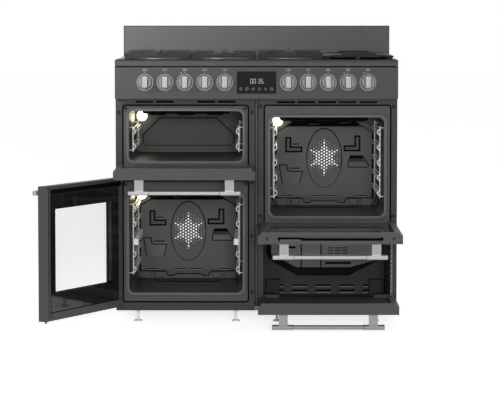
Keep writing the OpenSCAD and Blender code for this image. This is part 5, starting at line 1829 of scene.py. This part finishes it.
    def perforated_strip(self) -> None:
        """Lays the pale strip beside the storage space, with painted shade in its row of holes."""
        strip, holes = Shape("perforated_strip"), Shape("perforated_strip_holes")
        x0, low, x1, high = self.side_strip
        front = self.strip_y - self.strip_t
        strip.plate(corners(self.side_strip), front, self.strip_y)
        for at in range(int((high - low) / self.hole_pitch)):
            middle = ((x0 + x1) / 2, low + self.hole_pitch * (at + 0.5))
            holes.ring(middle, self.hole, front - self.strip_t, front, steps=12)
        strip.finish(LIT_ENAMEL)
        holes.finish(PAINTED_VENT_SHADE)

    def housings(self) -> None:
        """Puts the hinge housings into the rear corners, their sides in painted shade, each under a
        paler lid.
        """
        dark, lit = Shape("corner_housings"), Shape("corner_housing_lids")
        front, back, foot, top = self.housing
        for x0, x1 in self.corners_x:
            dark.box((x0, front, foot), (x1, back, top), self.housing_bevel)
            lit.box((x0, self.lid[0], top), (x1, back, self.lid[1]), self.housing_bevel)
        dark.finish(RING_SHADE)
        lit.finish(STORAGE_SHEET)

    def build(self) -> None:
        """Builds all of the storage space's details."""
        self.panels()
        self.shade()
        self.seam_lines()
        self.louvre_lines()
        self.housings()
        self.perforated_strip()


# ---- Stage ----


@dataclass(frozen=True)
class Softbox:
    """One square soft lamp.

    Attributes:
        name: The lamp's name.
        place: Where it hangs.
        aim: The point that it faces.
        size: Its side.
        watts: Its power.
        mirrored: Whether it shows in reflections.
        spread_deg: The width of its beam.
    """

    name: str
    place: tuple[float, float, float]
    aim: tuple[float, float, float]
    size: float
    watts: float
    mirrored: bool = True
    spread_deg: float = 180.0

    def hang(self) -> None:
        """Hangs the lamp."""
        data = bpy.data.lights.new(self.name, "AREA")
        data.size = self.size
        data.energy = self.watts
        data.spread = math.radians(self.spread_deg)
        lamp = add_object(self.name, data)
        lamp.location = self.place
        towards = Vector(self.aim) - Vector(self.place)
        lamp.rotation_euler = towards.to_track_quat("-Z", "Y").to_euler()
        lamp.visible_glossy = self.mirrored


@dataclass(frozen=True)
class OvenLight:
    """The warm light that an oven lamp sheds.

    Attributes:
        name: The light's name.
        place: Where it shines from.
        watts: Its power.
        colour: Its sRGB colour.
        radius: The radius of its glass.
    """

    name: str
    place: tuple[float, float, float]
    watts: float = 0.1
    colour: str = "ffeec8"
    radius: float = 0.015

    def hang(self) -> None:
        """Hangs the light."""
        data = bpy.data.lights.new(self.name, "POINT")
        data.shadow_soft_size = self.radius
        data.energy = self.watts
        data.color = linear(self.colour)[:3]
        add_object(self.name, data).location = self.place


@dataclass
class Studio:
    """The camera, the white surroundings and the soft lamps.

    Attributes:
        lens_mm: The focal length.
        sensor_mm: The sensor's width.
        reach: The distance to which the camera sees.
        stand: Where the camera stands.
        pitch_deg: How far it looks down.
        yaw_deg: How far it is turned to the left.
        floor_size: The side of the floor.
        floor_grey: The floor's linear brightness.
        floor_lift: The strength of the white that the eye meets on the floor.
        ambient: The strength of the surroundings as a light.
        lights: The lamps and the light of each oven.
    """

    lens_mm: float = 178.51
    sensor_mm: float = 36.0
    reach: float = 200.0
    stand: tuple[float, float, float] = (0.00165, -9.09257, 1.1413)
    pitch_deg: float = 4.55
    yaw_deg: float = 0.16
    floor_size: float = 60.0
    floor_grey: float = 0.9
    floor_lift: float = 0.72
    ambient: float = 0.3
    lights: tuple[Softbox | OvenLight, ...] = (
        Softbox("key_softbox", (-1.4, -8.6, 2.5), (0, 0, 0.5), 1.6, 72),
        Softbox("front_softbox", (0.5, -9.0, 1.4), (0, 0, 0.5), 1.2, 600, mirrored=False),
        Softbox("left_softbox", (-1.7, -1.3, 1.7), (-0.5, 0.26, 1.12), 0.5, 9, spread_deg=50),
        OvenLight("upper_left_lamp", (-0.427, 0.12, 0.715)),
        OvenLight("lower_left_lamp", (-0.429, 0.12, 0.425)),
        OvenLight("right_lamp", (0.079, 0.12, 0.699)),
    )

    def camera(self) -> None:
        """Places the camera at the photograph's viewing angle."""
        data = bpy.data.cameras.new("camera")
        data.lens = self.lens_mm
        data.sensor_width = self.sensor_mm
        data.clip_end = self.reach
        view = add_object("camera", data)
        view.location = self.stand
        view.rotation_euler = (math.radians(90 - self.pitch_deg), 0, math.radians(self.yaw_deg))
        bpy.context.scene.camera = view

    def split_by_eye(
        self,
        tree: bpy.types.NodeTree,
        light: bpy.types.NodeSocket,
        eye: bpy.types.NodeSocket,
        output: str,
    ) -> None:
        """Ends a tree in one shader for light, and another for what the eye meets.

        The eye meets it directly, through glass or mirrored.

        Args:
            tree: The node tree of the world or the floor.
            light: The shader that lights the object.
            eye: The shader that is seen.
            output: The Blender type of the tree's output.
        """
        path = add_node(tree, "ShaderNodeLightPath")
        seen = path.outputs["Is Camera Ray"]
        for ray in ("Is Transmission Ray", "Is Glossy Ray"):
            seen = add_node(
                tree, "ShaderNodeMath", {"operation": "MAXIMUM"}, {0: seen, 1: path.outputs[ray]}
            ).outputs[0]
        mix = add_node(tree, "ShaderNodeMixShader", {}, {0: seen, 1: light, 2: eye})
        add_node(tree, output, {}, {"Surface": mix.outputs[0]})

    def surroundings(self) -> None:
        """Makes the world white to the eye and softer as a light."""
        world = bpy.data.worlds.new("studio")
        bpy.context.scene.world = world
        world.use_nodes = True
        tree = world.node_tree
        tree.nodes.clear()
        soft, white = (
            add_node(tree, "ShaderNodeBackground", {"Color": (1, 1, 1, 1), "Strength": strength})
            for strength in (self.ambient, 1.0)
        )
        self.split_by_eye(tree, soft.outputs[0], white.outputs[0], "ShaderNodeOutputWorld")

    def floor(self) -> None:
        """Lays a pale floor that keeps the object's shadow."""
        mesh = bpy.data.meshes.new("floor")
        half = self.floor_size / 2
        plan = corners((-half, -half, half, half))
        mesh.from_pydata([(x, y, 0) for x, y in plan], [], [(0, 1, 2, 3)])
        floor = add_object("floor", mesh)
        material = bpy.data.materials.new("pale_floor")
        material.use_nodes = True
        tree = material.node_tree
        tree.nodes.clear()
        grey = (self.floor_grey, self.floor_grey, self.floor_grey, 1)
        diffuse = add_node(tree, "ShaderNodeBsdfDiffuse", {"Color": grey}).outputs[0]
        white = add_node(
            tree, "ShaderNodeEmission", {"Color": (1, 1, 1, 1), "Strength": self.floor_lift}
        )
        lifted = add_node(tree, "ShaderNodeAddShader", {}, {0: diffuse, 1: white.outputs[0]})
        self.split_by_eye(tree, diffuse, lifted.outputs[0], "ShaderNodeOutputMaterial")
        mesh.materials.append(material)

    def build(self) -> None:
        """Sets up the whole studio."""
        bpy.context.scene.view_settings.view_transform = "Standard"
        self.camera()
        self.surroundings()
        self.floor()
        for light in self.lights:
            light.hang()


def main() -> None:
    """Builds the cooker's looks in order."""
    logging.basicConfig(level=logging.INFO)
    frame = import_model()
    Studio().build()
    dress_nodes(frame["nodes"])
    marks = PanelMarks()
    Clock().build()
    marks.build()
    KnobRings(marks).build()
    KnobFaces(marks).build()
    FrontDetails().build()
    RackHooks().build()
    UpperOven().build()
    MainOven("lower_left", fan=(-254.5, 290.0)).build()
    MainOven("right", fan=(253.0, 564.0)).build()
    SwingDoor().build()
    DropDetails().build()
    StorageDetails().build()


if __name__ == "__main__":
    main()
